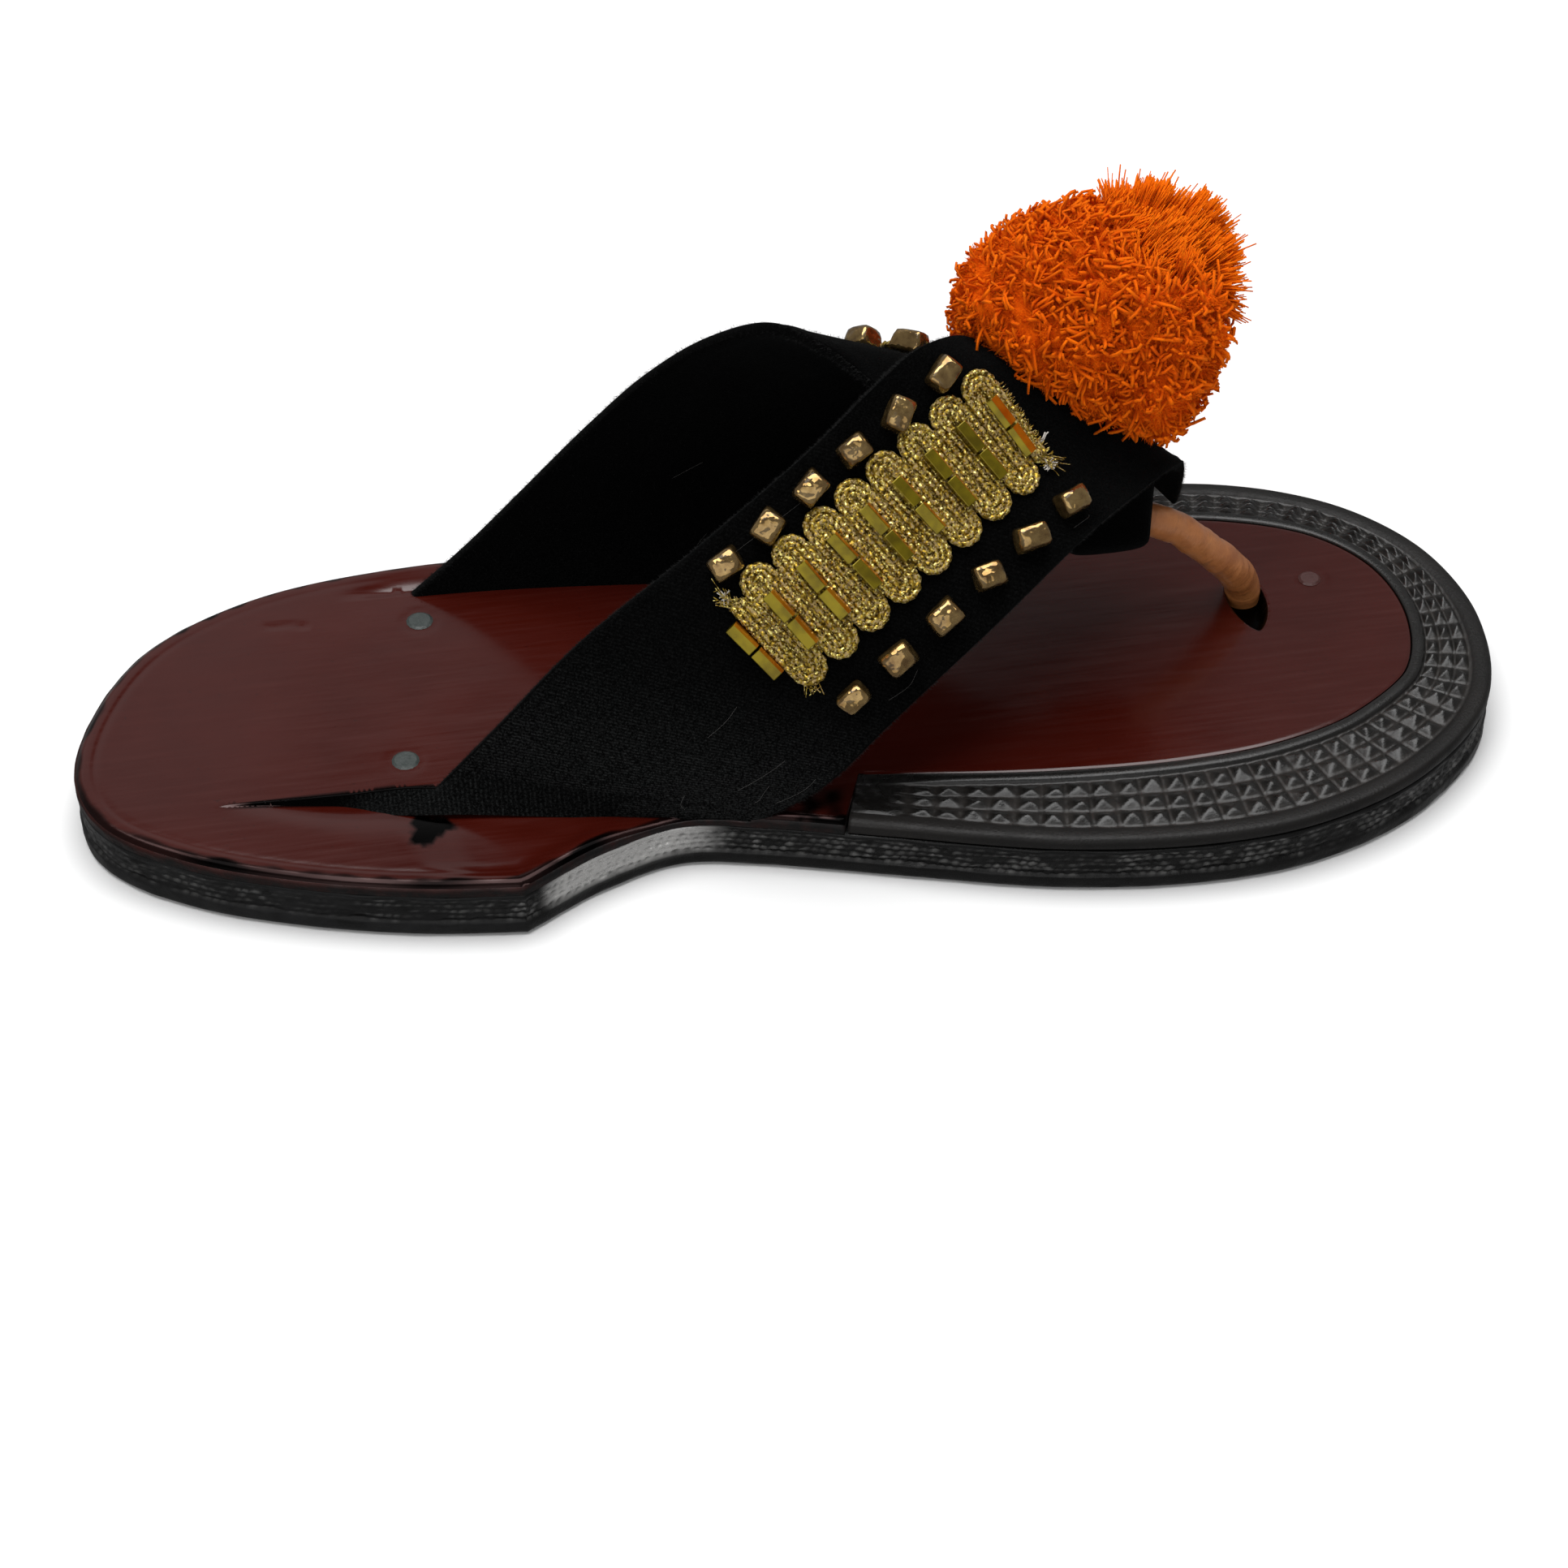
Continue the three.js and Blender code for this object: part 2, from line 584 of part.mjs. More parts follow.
// Gold braid: one wall with scalloped sides and a raised strip for each pass
function braidSheet(leg, start, heightAt, grow = 0) {
  const perLobe = 4;
  const columns = 4;
  const grid = (layer) =>
    Array.from({ length: BRAID.lobes * perLobe + 1 }, (_, i) => {
      const turn = (i / perLobe) * Math.PI;
      return Array.from({ length: columns + 1 }, (_, j) => {
        const side = mix(-1, 1, j / columns);
        const bulge = Math.abs(Math.sin(side < 0 ? turn : turn + Math.PI / 2));
        const across = ORNAMENT_MIDDLE + side * (BRAID.halfWidth + BRAID.lobe * bulge + grow);
        const end = i === 0 ? -BRAID.lead - grow : i === BRAID.lobes * perLobe ? grow : 0;
        const { point, normal } = leg.place(start + end + (i / perLobe) * BRAID.pitch, across);
        return point.addScaledVector(normal, heightAt(layer, turn));
      });
    });
  return closedSheet(grid(0), grid(1), leg === outerLeg);
}
const braidHeight = (layer, turn) =>
  CLEARANCE + layer * (BRAID.thick + BRAID.relief * Math.cos(4 * turn));
// Room that the braid and its bugle beads take up over a leg
const ornamentRoom = (layer) => layer * (BRAID.thick + BRAID.relief + BUGLE.side + 4 * CLEARANCE);

// A pair of square bugle beads end to end, with the thread that joins them
function bugleGeometry() {
  const half = BUGLE.side / 2;
  const end = BUGLE.length + BUGLE.gap / 2;
  const bead = (sign) => {
    const box = new THREE.BoxGeometry(BUGLE.side, BUGLE.length, BUGLE.side);
    return toSolid(box.translate(0, sign * (end - BUGLE.length / 2), half));
  };
  const thread = new THREE.BoxGeometry(half, 2 * BUGLE.gap, half).translate(0, 0, half);
  return toGeometry(bead(1).add(bead(-1)).add(toSolid(thread)));
}

// A faceted nugget bead: a six-sided barrel, each ring of corners turned, with a flat seat
function nuggetGeometry() {
  const sides = 6;
  const levels = [
    { z: 0, size: 0.72 },
    { z: 0.35, size: 1 },
    { z: 0.7, size: 0.92 },
    { z: 1, size: 0.5 },
  ];
  const rings = levels.map(({ z, size }, level) =>
    Array.from({ length: sides }, (_, i) => {
      const turn = ((i + level / 2) / sides) * 2 * Math.PI;
      const x = (NUGGET.long / 2) * size * Math.cos(turn);
      const y = (NUGGET.wide / 2) * size * Math.sin(turn);
      return new THREE.Vector3(x, y, NUGGET.high * z);
    }),
  );
  return stackedRings(rings);
}

for (const [side, leg] of [
  ["outer", outerLeg],
  ["inner", innerLeg],
]) {
  const start = ORNAMENT_START[side];
  add(`braid_${side}`, braidSheet(leg, start, braidHeight), FINISH.braid);
  for (let row = 0; row < BUGLE.rows; row += 1) {
    const up = BUGLE.first + row * BUGLE.pitch;
    const onBraid = row > 0;
    const frame = leg.place(start + (onBraid ? up : up - BUGLE.below), ORNAMENT_MIDDLE);
    const overBraid = onBraid ? BRAID.thick + BRAID.relief + CLEARANCE : 0;
    const body = seat(bugleGeometry(), frame, CLEARANCE + overBraid);
    add(`bugle_pair_${side}_${row + 1}`, body, FINISH.glass);
  }
  for (const { edge, across, first, pitch } of NUGGET_LINES) {
    for (let n = 0; n < NUGGET.count; n += 1) {
      const frame = leg.place(start + first + n * pitch, across);
      const body = seat(nuggetGeometry(), frame, CLEARANCE);
      add(`nugget_${side}_${edge}_${n + 1}`, body, FINISH.gold);
    }
  }
}

// The yarn parts round the strap and its ornament
const pressed = [
  strapRoom(POMPOM_UNDER),
  toSolid(braidSheet(outerLeg, ORNAMENT_START.outer, ornamentRoom, SLIT_ROOM)),
  toSolid(braidSheet(innerLeg, ORNAMENT_START.inner, ornamentRoom, SLIT_ROOM)),
].reduce((body, room) => body.subtract(room), pompomBody());
const pompomParts = pressed.decompose().sort((a, b) => b.volume() - a.volume());
add("pompom", toGeometry(pompomParts[0]), FINISH.yarn);

// Nail heads on the insole
for (const { name, x, y, radius } of NAILS) {
  const { high, crown, sides } = NAIL_HEAD;
  const head = new THREE.CylinderGeometry(radius * crown, radius, high, sides);
  head.rotateX(Math.PI / 2).translate(x, y, INSOLE_TOP + high / 2);
  add(name, head, name === "nail_toe" ? FINISH.oxblood : FINISH.iron);
}

export default pieces;
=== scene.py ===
"""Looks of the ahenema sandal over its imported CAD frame. Tables are in millimetres, the scene in metres."""
import math

import bmesh
import bpy
import numpy as np
from mathutils import Matrix, Vector
from mathutils.bvhtree import BVHTree
from mathutils.geometry import delaunay_2d_cdt


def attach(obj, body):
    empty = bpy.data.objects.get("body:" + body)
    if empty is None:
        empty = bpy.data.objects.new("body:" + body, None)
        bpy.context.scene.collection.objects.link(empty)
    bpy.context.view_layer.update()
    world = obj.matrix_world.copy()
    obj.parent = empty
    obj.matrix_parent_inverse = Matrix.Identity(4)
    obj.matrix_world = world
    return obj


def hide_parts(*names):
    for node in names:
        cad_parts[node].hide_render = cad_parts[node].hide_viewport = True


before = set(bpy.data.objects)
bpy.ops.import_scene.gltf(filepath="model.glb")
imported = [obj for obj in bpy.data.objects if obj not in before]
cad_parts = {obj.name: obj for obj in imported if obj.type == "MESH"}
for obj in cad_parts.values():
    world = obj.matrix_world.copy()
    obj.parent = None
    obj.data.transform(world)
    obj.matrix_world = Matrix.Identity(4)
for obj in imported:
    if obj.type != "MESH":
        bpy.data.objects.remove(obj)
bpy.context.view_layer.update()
MM = 0.001
FULL_TURN = 6.283

# Sizes shared with the CAD source
OUTSOLE_TOP, INSOLE_BOTTOM, INSOLE_TOP = 10.3, 10.6, 13.5
STRAP_WALL = 2.6
OUTLINE = np.array([
    (-60.5, -45.7), (-80, -42.8), (-103, -36.5), (-125, -27), (-140, -15), (-145, -1), (-141.5, 17),
    (-129, 37), (-107, 49.6), (-72, 55.2), (-35, 52.4), (5, 49.6), (45, 52.4), (78, 55.2), (105, 51),
    (126, 40.4), (140, 23), (145, 0), (139, -25), (120, -43.5), (97, -53), (74, -55.2), (45, -51.8),
    (12, -42.4), (-12, -35.2), (-28, -32.2), (-44, -36.8), (-60.5, -45.7)], float)
BORDER_INNER_X, BORDER_OUTER_X, BORDER_PITCH, BORDER_ROWS = 12, 4, 5.3, 3
BORDER_WIDTHS = [12, 12.5, 13, 12.8, 15.6, 20, 22.2, 20.2, 14.5]
RIM_WIDTH, RIM_SLOPE, BEAD_WIDTH = 4.6, 1.1, 3.0
OUTER_REAR = [(-77, -15.8, 10.9), (-61, -15.5, 28.6), (-44, -14, 46.3), (-21.6, -9.5, 61.7),
              (3.6, -1.5, 77.5), (16.8, 4.5, 86), (26, 10, 89.5), (35, 17, 86.5), (43, 24, 77.5)]
OUTER_FRONT = [(-14, -34.5, 10.9), (0, -36, 20.5), (13, -34.5, 33.3), (33, -28.5, 48.8), (58, -12.5, 59),
               (70, -2, 58.3), (79, 6.5, 56.6), (82.6, 13, 51), (83, 16.5, 40)]
OUTER_CROWN = [1.5, 1.8, 1.8, 1.8, 1.8, 2, 2.4, 2.4, 2]
INNER_REAR = [(-76, 46, 10.9), (-61.7, 46.5, 23.6), (-48.3, 46, 38), (-35.3, 44.5, 53), (-23, 40.5, 67.8),
              (-11.3, 34.5, 79.5), (-0.3, 26, 87.5), (8, 16.5, 88.3), (16.5, 6.8, 85)]
INNER_FRONT = [(-3, 37, 10.9), (10, 39, 22), (24, 38.5, 33), (37, 35.5, 41.5), (49, 31, 46.5),
               (59, 26, 48.6), (68, 20, 49.6), (75.5, 14, 52.2), (78, 8.5, 54)]
INNER_CROWN = [1.5, 1.8, 1.8, 1.8, 1.8, 2, 3, 5, 5]
ORNAMENT_START = {"outer": 55, "inner": 43.5}
ORNAMENT_MIDDLE = -2.6
BRAID_LOBES, BRAID_PITCH, BRAID_HALF, BRAID_LEAD = 8, 8, 11.6, 3.4
BUGLE_LENGTH, BUGLE_SIDE, BUGLE_GAP, BUGLE_ROWS = 6.3, 2.6, 0.5, 9
BUGLE_FIRST, BUGLE_BELOW, BUGLE_PITCH, BUGLE_LIFT = -4, 1.2, 8, 1.6
# Edge of the strap, mm across from its middle line, first place up the leg, and pitch
NUGGET_LINES = [("rear", -18.4, 1.5, 10.8), ("front", 16.6, 2.6, 11.6)]
NUGGETS_IN_LINE = 6
NUGGET = (7, 5.6, 4.3)
POST_RADIUS = 3.75
POST_ROUTE = [(98.6, 16.4, 10.6), (97.8, 15.2, 16), (94.2, 12.8, 22.6), (87.4, 11.4, 30.4), (79.5, 11, 37.4),
              (71, 11, 40.6), (62, 11, 41.2)]
LOOP_Y, LOOP_BACK, LOOP_FRONT, LOOP_HALF, LOOP_WALL, LOOP_LOW = 11, 58, 74, 6.4, 2.2, 34
POMPOM = np.array((66.5, 25, 81.5))
TOE_SLIT_X, TOE_SLIT_Y, TOE_SLIT_HALF = 98.4, 13, 10.5
NAILS = [(-79.6, -6.5), (-72.5, 35.6), (113.2, 16.7)]

# Camera that was fitted to the photo
PHOTO_RIGHT = np.array((0.98480775, -0.17364818, 0))
PHOTO_UP = np.array((0.11871353, 0.67325786, 0.72981569))
PHOTO_BACK = -np.array((0.12673117, 0.71872815, -0.68364395))
PHOTO_PLACE, PHOTO_LENS, PHOTO_SENSOR = (-0.09812, -0.54534, 0.50720), 83.85, 36


# Curves and fields
def unit(v):
    """Each vector brought to length one."""
    return v / np.linalg.norm(v, axis=-1, keepdims=True)


def run_along(points):
    """How far along a line each of its points is."""
    return np.concatenate([[0], np.cumsum(np.linalg.norm(np.diff(points, axis=0), axis=1))])


def spline(points, t):
    """Centripetal Catmull-Rom curve through points, run straight on past both ends."""
    p = np.asarray(points, float)
    p = np.vstack([2 * p[0] - p[1], p, 2 * p[-1] - p[-2]])
    t = np.atleast_1d(np.asarray(t, float))
    held = np.clip(t, 0, 1)
    last = len(p) - 3
    i = np.minimum((held * last).astype(int), last - 1)
    w = (held * last - i)[:, None]
    p0, p1, p2, p3 = p[i], p[i + 1], p[i + 2], p[i + 3]
    d0, d1, d2 = (np.maximum(np.linalg.norm(b - a, axis=1, keepdims=True), 1e-6) ** 0.5
                  for a, b in ((p0, p1), (p1, p2), (p2, p3)))
    m1 = ((p1 - p0) / d0 - (p2 - p0) / (d0 + d1) + (p2 - p1) / d1) * d1
    m2 = ((p2 - p1) / d1 - (p3 - p1) / (d1 + d2) + (p3 - p2) / d2) * d1
    c2 = -3 * p1 + 3 * p2 - 2 * m1 - m2
    c3 = 2 * p1 - 2 * p2 + m1 + m2
    place = p1 + m1 * w + c2 * w ** 2 + c3 * w ** 3
    slope = (m1 + 2 * c2 * w + 3 * c3 * w ** 2) * last
    return place + slope * (t - held)[:, None]


def even(points, count, closed=False):
    """count points evenly spaced along a dense line of points, and how far along each is."""
    p = np.asarray(points, float)
    run = run_along(p)
    at = np.linspace(0, run[-1], count, endpoint=not closed)
    return np.stack([np.interp(at, run, p[:, k]) for k in range(p.shape[1])], axis=1), at


def turns(count):
    """Angles of even steps round a circle."""
    return np.arange(count) * 2 * math.pi / count


def smooth(x, low, high):
    """0 below low, 1 above high, and a smooth step between them."""
    t = np.clip((np.asarray(x, float) - low) / (high - low), 0, 1)
    return t * t * (3 - 2 * t)


def waves(x, y, seed, scale):
    """A smooth field of about -1 to 1 from a few seeded waves."""
    r = np.random.default_rng(seed)
    total = 0
    for _ in range(7):
        angle, phase, size = r.uniform(0, FULL_TURN), r.uniform(0, FULL_TURN), scale * r.uniform(0.6, 1.7)
        total = total + np.sin((x * math.cos(angle) + y * math.sin(angle)) * FULL_TURN / size + phase)
    return total / 3.2


def bell(x, width):
    """1 at x = 0, falling off to both sides."""
    return np.exp(-(x / width) ** 2)


def line_distance(x, y, line):
    """Distance of each place from a line of points."""
    best = np.full(x.shape, 1e9)
    for (ax, ay), (bx, by) in zip(line[:-1], line[1:]):
        dx, dy = bx - ax, by - ay
        t = np.clip(((x - ax) * dx + (y - ay) * dy) / (dx * dx + dy * dy + 1e-12), 0, 1)
        best = np.minimum(best, np.hypot(x - ax - t * dx, y - ay - t * dy))
    return best


# Meshes
def grid_quads(rows, columns, wrap=False):
    i = np.arange(rows - 1)[:, None]
    j = np.arange(columns if wrap else columns - 1)[None, :]
    a = i * columns + j
    b = i * columns + (j + 1) % columns
    return np.stack([a, b, b + columns, a + columns], axis=-1).reshape(-1, 4)


def ring_face(ring, count):
    """The face that fills one ring of a lofted mesh."""
    return list(range(ring * count, (ring + 1) * count))


def piece(name, points, faces, material, slot, replaces=(), soft=True, data=None, extra=()):
    """A mesh piece of the sandal from points in millimetres, faces of one size, and extra faces as lists."""
    mesh = bpy.data.meshes.new(name)
    points = np.asarray(points, float)
    faces = np.asarray(faces)
    mesh.vertices.add(len(points))
    mesh.vertices.foreach_set("co", (points * MM).ravel())
    sizes = [faces.shape[1]] * len(faces) + [len(f) for f in extra]
    flat = np.concatenate([faces.ravel()] + [np.asarray(f) for f in extra]).astype(np.int32)
    mesh.loops.add(len(flat))
    mesh.loops.foreach_set("vertex_index", flat)
    mesh.polygons.add(len(sizes))
    mesh.polygons.foreach_set("loop_start", np.concatenate([[0], np.cumsum(sizes)[:-1]]).astype(np.int32))
    mesh.update(calc_edges=True)
    mesh.validate()
    mesh.polygons.foreach_set("use_smooth", np.full(len(mesh.polygons), soft))
    for key, values in (data or {}).items():
        values = np.asarray(values, float)
        kind, field = ("FLOAT", "value") if values.ndim == 1 else ("FLOAT_VECTOR", "vector")
        mesh.attributes.new(key, kind, "POINT").data.foreach_set(field, values.ravel())
    mesh.materials.append(material)
    obj = bpy.data.objects.new(name, mesh)
    bpy.context.scene.collection.objects.link(obj)
    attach(obj, "root")
    if replaces:
        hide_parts(*replaces)


def joined(meshes):
    """Many small meshes of (points, faces) as one."""
    points, faces = zip(*meshes)
    starts = np.cumsum([0] + [len(p) for p in points[:-1]])
    return np.vstack(points), np.vstack([f + k for f, k in zip(faces, starts)])


def frames_along(path):
    """Directions along a path and two square to it, without twist, for one path or many of one length."""
    ahead = np.gradient(path, axis=-2)
    ahead /= np.maximum(np.linalg.norm(ahead, axis=-1, keepdims=True), 1e-9)
    helper = np.where(np.abs(ahead[..., :1, 2:]) < 0.9, np.array((0, 0, 1.0)), np.array((1.0, 0, 0)))
    side = unit(np.cross(ahead[..., 0, :], helper[..., 0, :]))
    sides = [side]
    for k in range(1, path.shape[-2]):
        a = ahead[..., k, :]
        side = side - a * np.sum(side * a, axis=-1, keepdims=True)
        side = side / np.maximum(np.linalg.norm(side, axis=-1, keepdims=True), 1e-9)
        sides.append(side)
    side = np.stack(sides, axis=-2)
    return ahead, side, np.cross(ahead, side)


def tubes(paths, radius, sides):
    """Points and quads of tubes round paths (tube, step, 3); radius is a number or (tube, step[, side])."""
    paths = np.asarray(paths, float)
    count, steps, _ = paths.shape
    _, side, up = frames_along(paths)
    turn = turns(sides)
    radius = np.asarray(radius, float)
    radius = np.broadcast_to(radius if radius.ndim == 3 else radius[..., None], (count, steps, sides))
    ring = side[:, :, None, :] * np.cos(turn)[:, None] + up[:, :, None, :] * np.sin(turn)[:, None]
    points = paths[:, :, None, :] + ring * radius[..., None]
    quads = grid_quads(steps, sides, wrap=True)
    faces = (np.arange(count)[:, None, None] * steps * sides + quads[None]).reshape(-1, 4)
    return points.reshape(-1, 3), faces


def tube_ends(count, steps, sides):
    """The face that closes the far end of each tube."""
    last = np.arange(count)[:, None] * steps * sides + (steps - 1) * sides
    return (last + np.arange(sides)).tolist()


def slivers(base, side, tip):
    """Points and faces of thin triangles, one for each fibre."""
    points = np.stack([base - side, base + side, tip], axis=1).reshape(-1, 3)
    return points, np.arange(len(points)).reshape(-1, 3)


def solid_arrays(solid):
    """Points and triangles of a bmesh, which is freed."""
    bmesh.ops.triangulate(solid, faces=solid.faces)
    solid.verts.index_update()
    points = np.array([v.co[:] for v in solid.verts])
    faces = np.array([[v.index for v in f.verts] for f in solid.faces])
    solid.free()
    return points, faces


# Materials
class Look:
    """A material with one principled shader, and the nodes that feed it."""

    def __init__(self, name, **values):
        self.material = bpy.data.materials.new(name)
        self.material.use_nodes = True
        self.tree = self.material.node_tree
        self.main = self.tree.nodes["Principled BSDF"]
        self.relief = None
        for key, value in values.items():
            self.main.inputs[key.replace("_", " ")].default_value = value

    def feed(self, socket, value):
        self.tree.links.new(value, self.main.inputs[socket])

    def node(self, kind, links=None, **values):
        made = self.tree.nodes.new("ShaderNode" + kind)
        for key, value in values.items():
            setattr(made, key, value)
        for key, value in (links or {}).items():
            if isinstance(value, bpy.types.NodeSocket):
                self.tree.links.new(value, made.inputs[key])
            else:
                made.inputs[key].default_value = value
        return made

    def place(self):
        """Object coordinates in millimetres."""
        place = self.node("TexCoord").outputs["Object"]
        return self.node("VectorMath", {0: place, "Scale": 1 / MM}, operation="SCALE").outputs[0]

    def value(self, name):
        return self.node("Attribute", attribute_name=name).outputs["Fac"]

    def vector(self, name):
        return self.node("Attribute", attribute_name=name).outputs["Vector"]

    def mapped(self, vector, **values):
        return self.node("Mapping", {"Vector": vector, **values}).outputs[0]

    def noise(self, vector, scale, detail, rough):
        links = {"Vector": vector, "Scale": scale, "Detail": detail, "Roughness": rough}
        return self.node("TexNoise", links).outputs["Fac"]

    def ramp(self, value, low, high, a=0.0, b=1.0):
        links = {"Value": value, "From Min": low, "From Max": high, "To Min": a, "To Max": b}
        return self.node("MapRange", links, clamp=True).outputs["Result"]

    def times(self, a, b):
        return self.node("Math", {0: a, 1: b}, operation="MULTIPLY").outputs[0]

    def plus(self, a, b):
        return self.node("Math", {0: a, 1: b}, operation="ADD").outputs[0]

    def mix(self, factor, a, b):
        made = self.node("Mix", data_type="RGBA")
        for socket, value in ((made.inputs[0], factor), (made.inputs[6], a), (made.inputs[7], b)):
            if isinstance(value, bpy.types.NodeSocket):
                self.tree.links.new(value, socket)
            else:
                socket.default_value = (*value, 1.0)
        return made.outputs[2]

    def bump(self, height, strength, distance):
        """Relief over any relief that was added before."""
        links = {"Height": height, "Strength": strength, "Distance": distance}
        if self.relief is not None:
            links["Normal"] = self.relief
        self.relief = self.node("Bump", links).outputs[0]
        self.feed("Normal", self.relief)


def sole_leather():
    """Black edge leather; a burnished part reflects like a dark metal, the rest is dull. The pits are painted
    darker as shade, and the up-facing lips of some pits are made the same bright metal as painted glints.
    """
    black, scuffed = (0.0032, 0.0031, 0.003), (0.01, 0.01, 0.0106)
    pit_shade_black, burnished = (0.0008, 0.0008, 0.0008), (0.9, 0.89, 0.87)
    look = Look("black_sole_leather", Specular_IOR_Level=0.22)
    place = look.place()
    worn = look.value("worn")
    blotch = look.noise(place, 0.16, 5, 0.65)
    fine = look.noise(place, 1.6, 4, 0.6)
    scuff = look.mix(look.times(worn, look.ramp(blotch, 0.35, 0.7)), black, scuffed)
    pit_shaded = look.mix(look.value("pit_shade"), scuff, pit_shade_black)
    shine = look.times(look.value("gloss"), look.ramp(blotch, 0.3, 0.55, 0.6, 1.0))
    look.feed("Base Color", look.mix(shine, pit_shaded, burnished))
    look.feed("Metallic", shine)
    look.feed("Roughness", look.plus(look.ramp(blotch, 0.3, 0.75, 0.16, 0.34), look.times(worn, 0.2)))
    look.bump(fine, 0.6, 0.00016)
    return look.material


def lacquer():
    """Oxblood lacquer with brush streaks and specks; stains, black paint and painted shade in the slits are a
    near-black metal, so they have no gloss.
    """
    deep_red, red = (0.034, 0.0026, 0.001), (0.046, 0.0046, 0.0024)
    streaked, specked, stain_and_shade_black = (0.054, 0.0075, 0.0048), (0.012, 0.0016, 0.0009), (0.0022, 0.002, 0.002)
    look = Look("oxblood_lacquer")
    place = look.place()
    brush = look.mapped(place, Scale=(0.05, 1.0, 1.0), Rotation=(0, 0, -0.16))
    streak = look.noise(brush, 0.9, 4, 0.6)
    cloud = look.noise(place, 0.035, 4, 0.55)
    speck = look.noise(place, 0.9, 2, 0.5)
    stain_and_shade = look.value("stain_and_shade")
    base = look.mix(look.ramp(cloud, 0.3, 0.7), deep_red, red)
    brushed = look.mix(look.ramp(streak, 0.45, 0.75, 0.0, 0.35), base, streaked)
    spots = look.mix(look.ramp(speck, 0.7, 0.76, 0.0, 0.55), brushed, specked)
    look.feed("Base Color", look.mix(stain_and_shade, spots, stain_and_shade_black))
    look.feed("Roughness", look.ramp(streak, 0.3, 0.75, 0.15, 0.25))
    look.feed("Metallic", stain_and_shade)
    look.bump(streak, 0.12, 0.00006)
    look.bump(look.noise(place, 0.7, 4, 0.6), 0.1, 0.00008)
    return look.material


def dull_leather(name, dark, light, level):
    """Leather edge that hardly reflects; the paint attribute runs from its light to its dark colour."""
    look = Look(name, Specular_IOR_Level=level)
    place = look.place()
    cloud = look.noise(place, 0.3, 5, 0.65)
    worn = look.times(look.value("paint"), look.ramp(cloud, 0.3, 0.6, 0.55, 1.0))
    look.feed("Base Color", look.mix(worn, light, dark))
    look.feed("Roughness", look.ramp(cloud, 0.3, 0.7, 0.3, 0.5))
    look.bump(look.noise(place, 1.7, 5, 0.65), 0.7, 0.0002)
    return look.material


def tooled_leather():
    """Black punched leather, dusty and duller in its low parts."""
    black, dusty = (0.005, 0.0045, 0.004), (0.019, 0.0155, 0.013)
    look = Look("black_tooled_leather", Specular_IOR_Level=0.4, Coat_Weight=0.1, Coat_Roughness=0.25)
    place = look.place()
    low = look.value("low")
    cloud = look.noise(place, 0.22, 4, 0.6)
    look.feed("Base Color", look.mix(look.times(low, look.ramp(cloud, 0.3, 0.7)), black, dusty))
    look.feed("Roughness", look.plus(look.ramp(cloud, 0.3, 0.7, 0.2, 0.34), look.times(low, 0.14)))
    look.bump(look.noise(place, 1.9, 5, 0.65), 0.55, 0.00014)
    return look.material


def velvet():
    """Black velvet; where its pile is worn the ribs of the ground show through, dusty. The same mask also
    paints sheen: the outer leg's face is lighter towards its foot, while the inner leg stays dark.
    """
    black, crushed = (0.0004, 0.0004, 0.0004), (0.003, 0.003, 0.003)
    ground, dust_and_sheen = (0.001, 0.001, 0.001), (0.03, 0.0315, 0.0315)
    look = Look("black_velvet", Roughness=0.92, Sheen_Weight=0.022, Sheen_Roughness=0.4,
                Sheen_Tint=(0.8, 0.85, 0.86, 1), Specular_IOR_Level=0.015)
    place = look.place()
    crush = look.noise(place, 0.11, 4, 0.6)
    pile = look.noise(place, 2.4, 4, 0.7)
    ribbing = {"Vector": look.vector("cloth"), "Scale": 0.42, "Distortion": 1.6, "Detail": 2.0,
               "Detail Scale": 1.2}
    rows = look.node("TexWave", ribbing, wave_type="BANDS", bands_direction="X").outputs["Fac"]
    worn = look.times(look.ramp(pile, 0.35, 0.75), look.ramp(crush, 0.3, 0.75, 0.25, 1.0))
    ribs = look.times(look.ramp(rows, 0.2, 0.9, 0.35, 1.0), look.ramp(pile, 0.42, 0.72))
    look.feed("Base Color", look.mix(look.value("worn_nap_and_sheen"), look.mix(worn, black, crushed),
                                     look.mix(ribs, ground, dust_and_sheen)))
    look.bump(rows, 0.12, 0.0002)
    look.bump(pile, 0.8, 0.0004)
    return look.material


def tan_leather():
    """Rolled tan leather with creases round the cord, painted darker in the creases as shade."""
    brown, tan, painted_crease_shade = (0.3, 0.096, 0.026), (0.5, 0.192, 0.058), (0.1, 0.033, 0.011)
    look = Look("tan_leather", Coat_Weight=0.3, Coat_Roughness=0.28)
    place = look.place()
    crease = look.noise(look.mapped(look.vector("cord"), Scale=(1.0, 0.25, 1.0)), 0.55, 4, 0.6)
    cloud = look.noise(place, 0.14, 4, 0.6)
    fine = look.noise(place, 2.2, 4, 0.6)
    base = look.mix(look.ramp(cloud, 0.3, 0.72), brown, tan)
    look.feed("Base Color", look.mix(look.ramp(crease, 0.56, 0.72, 0.0, 0.5), base, painted_crease_shade))
    look.feed("Roughness", look.ramp(fine, 0.3, 0.7, 0.36, 0.52))
    look.bump(crease, 0.6, 0.0005)
    look.bump(fine, 0.35, 0.00015)
    return look.material


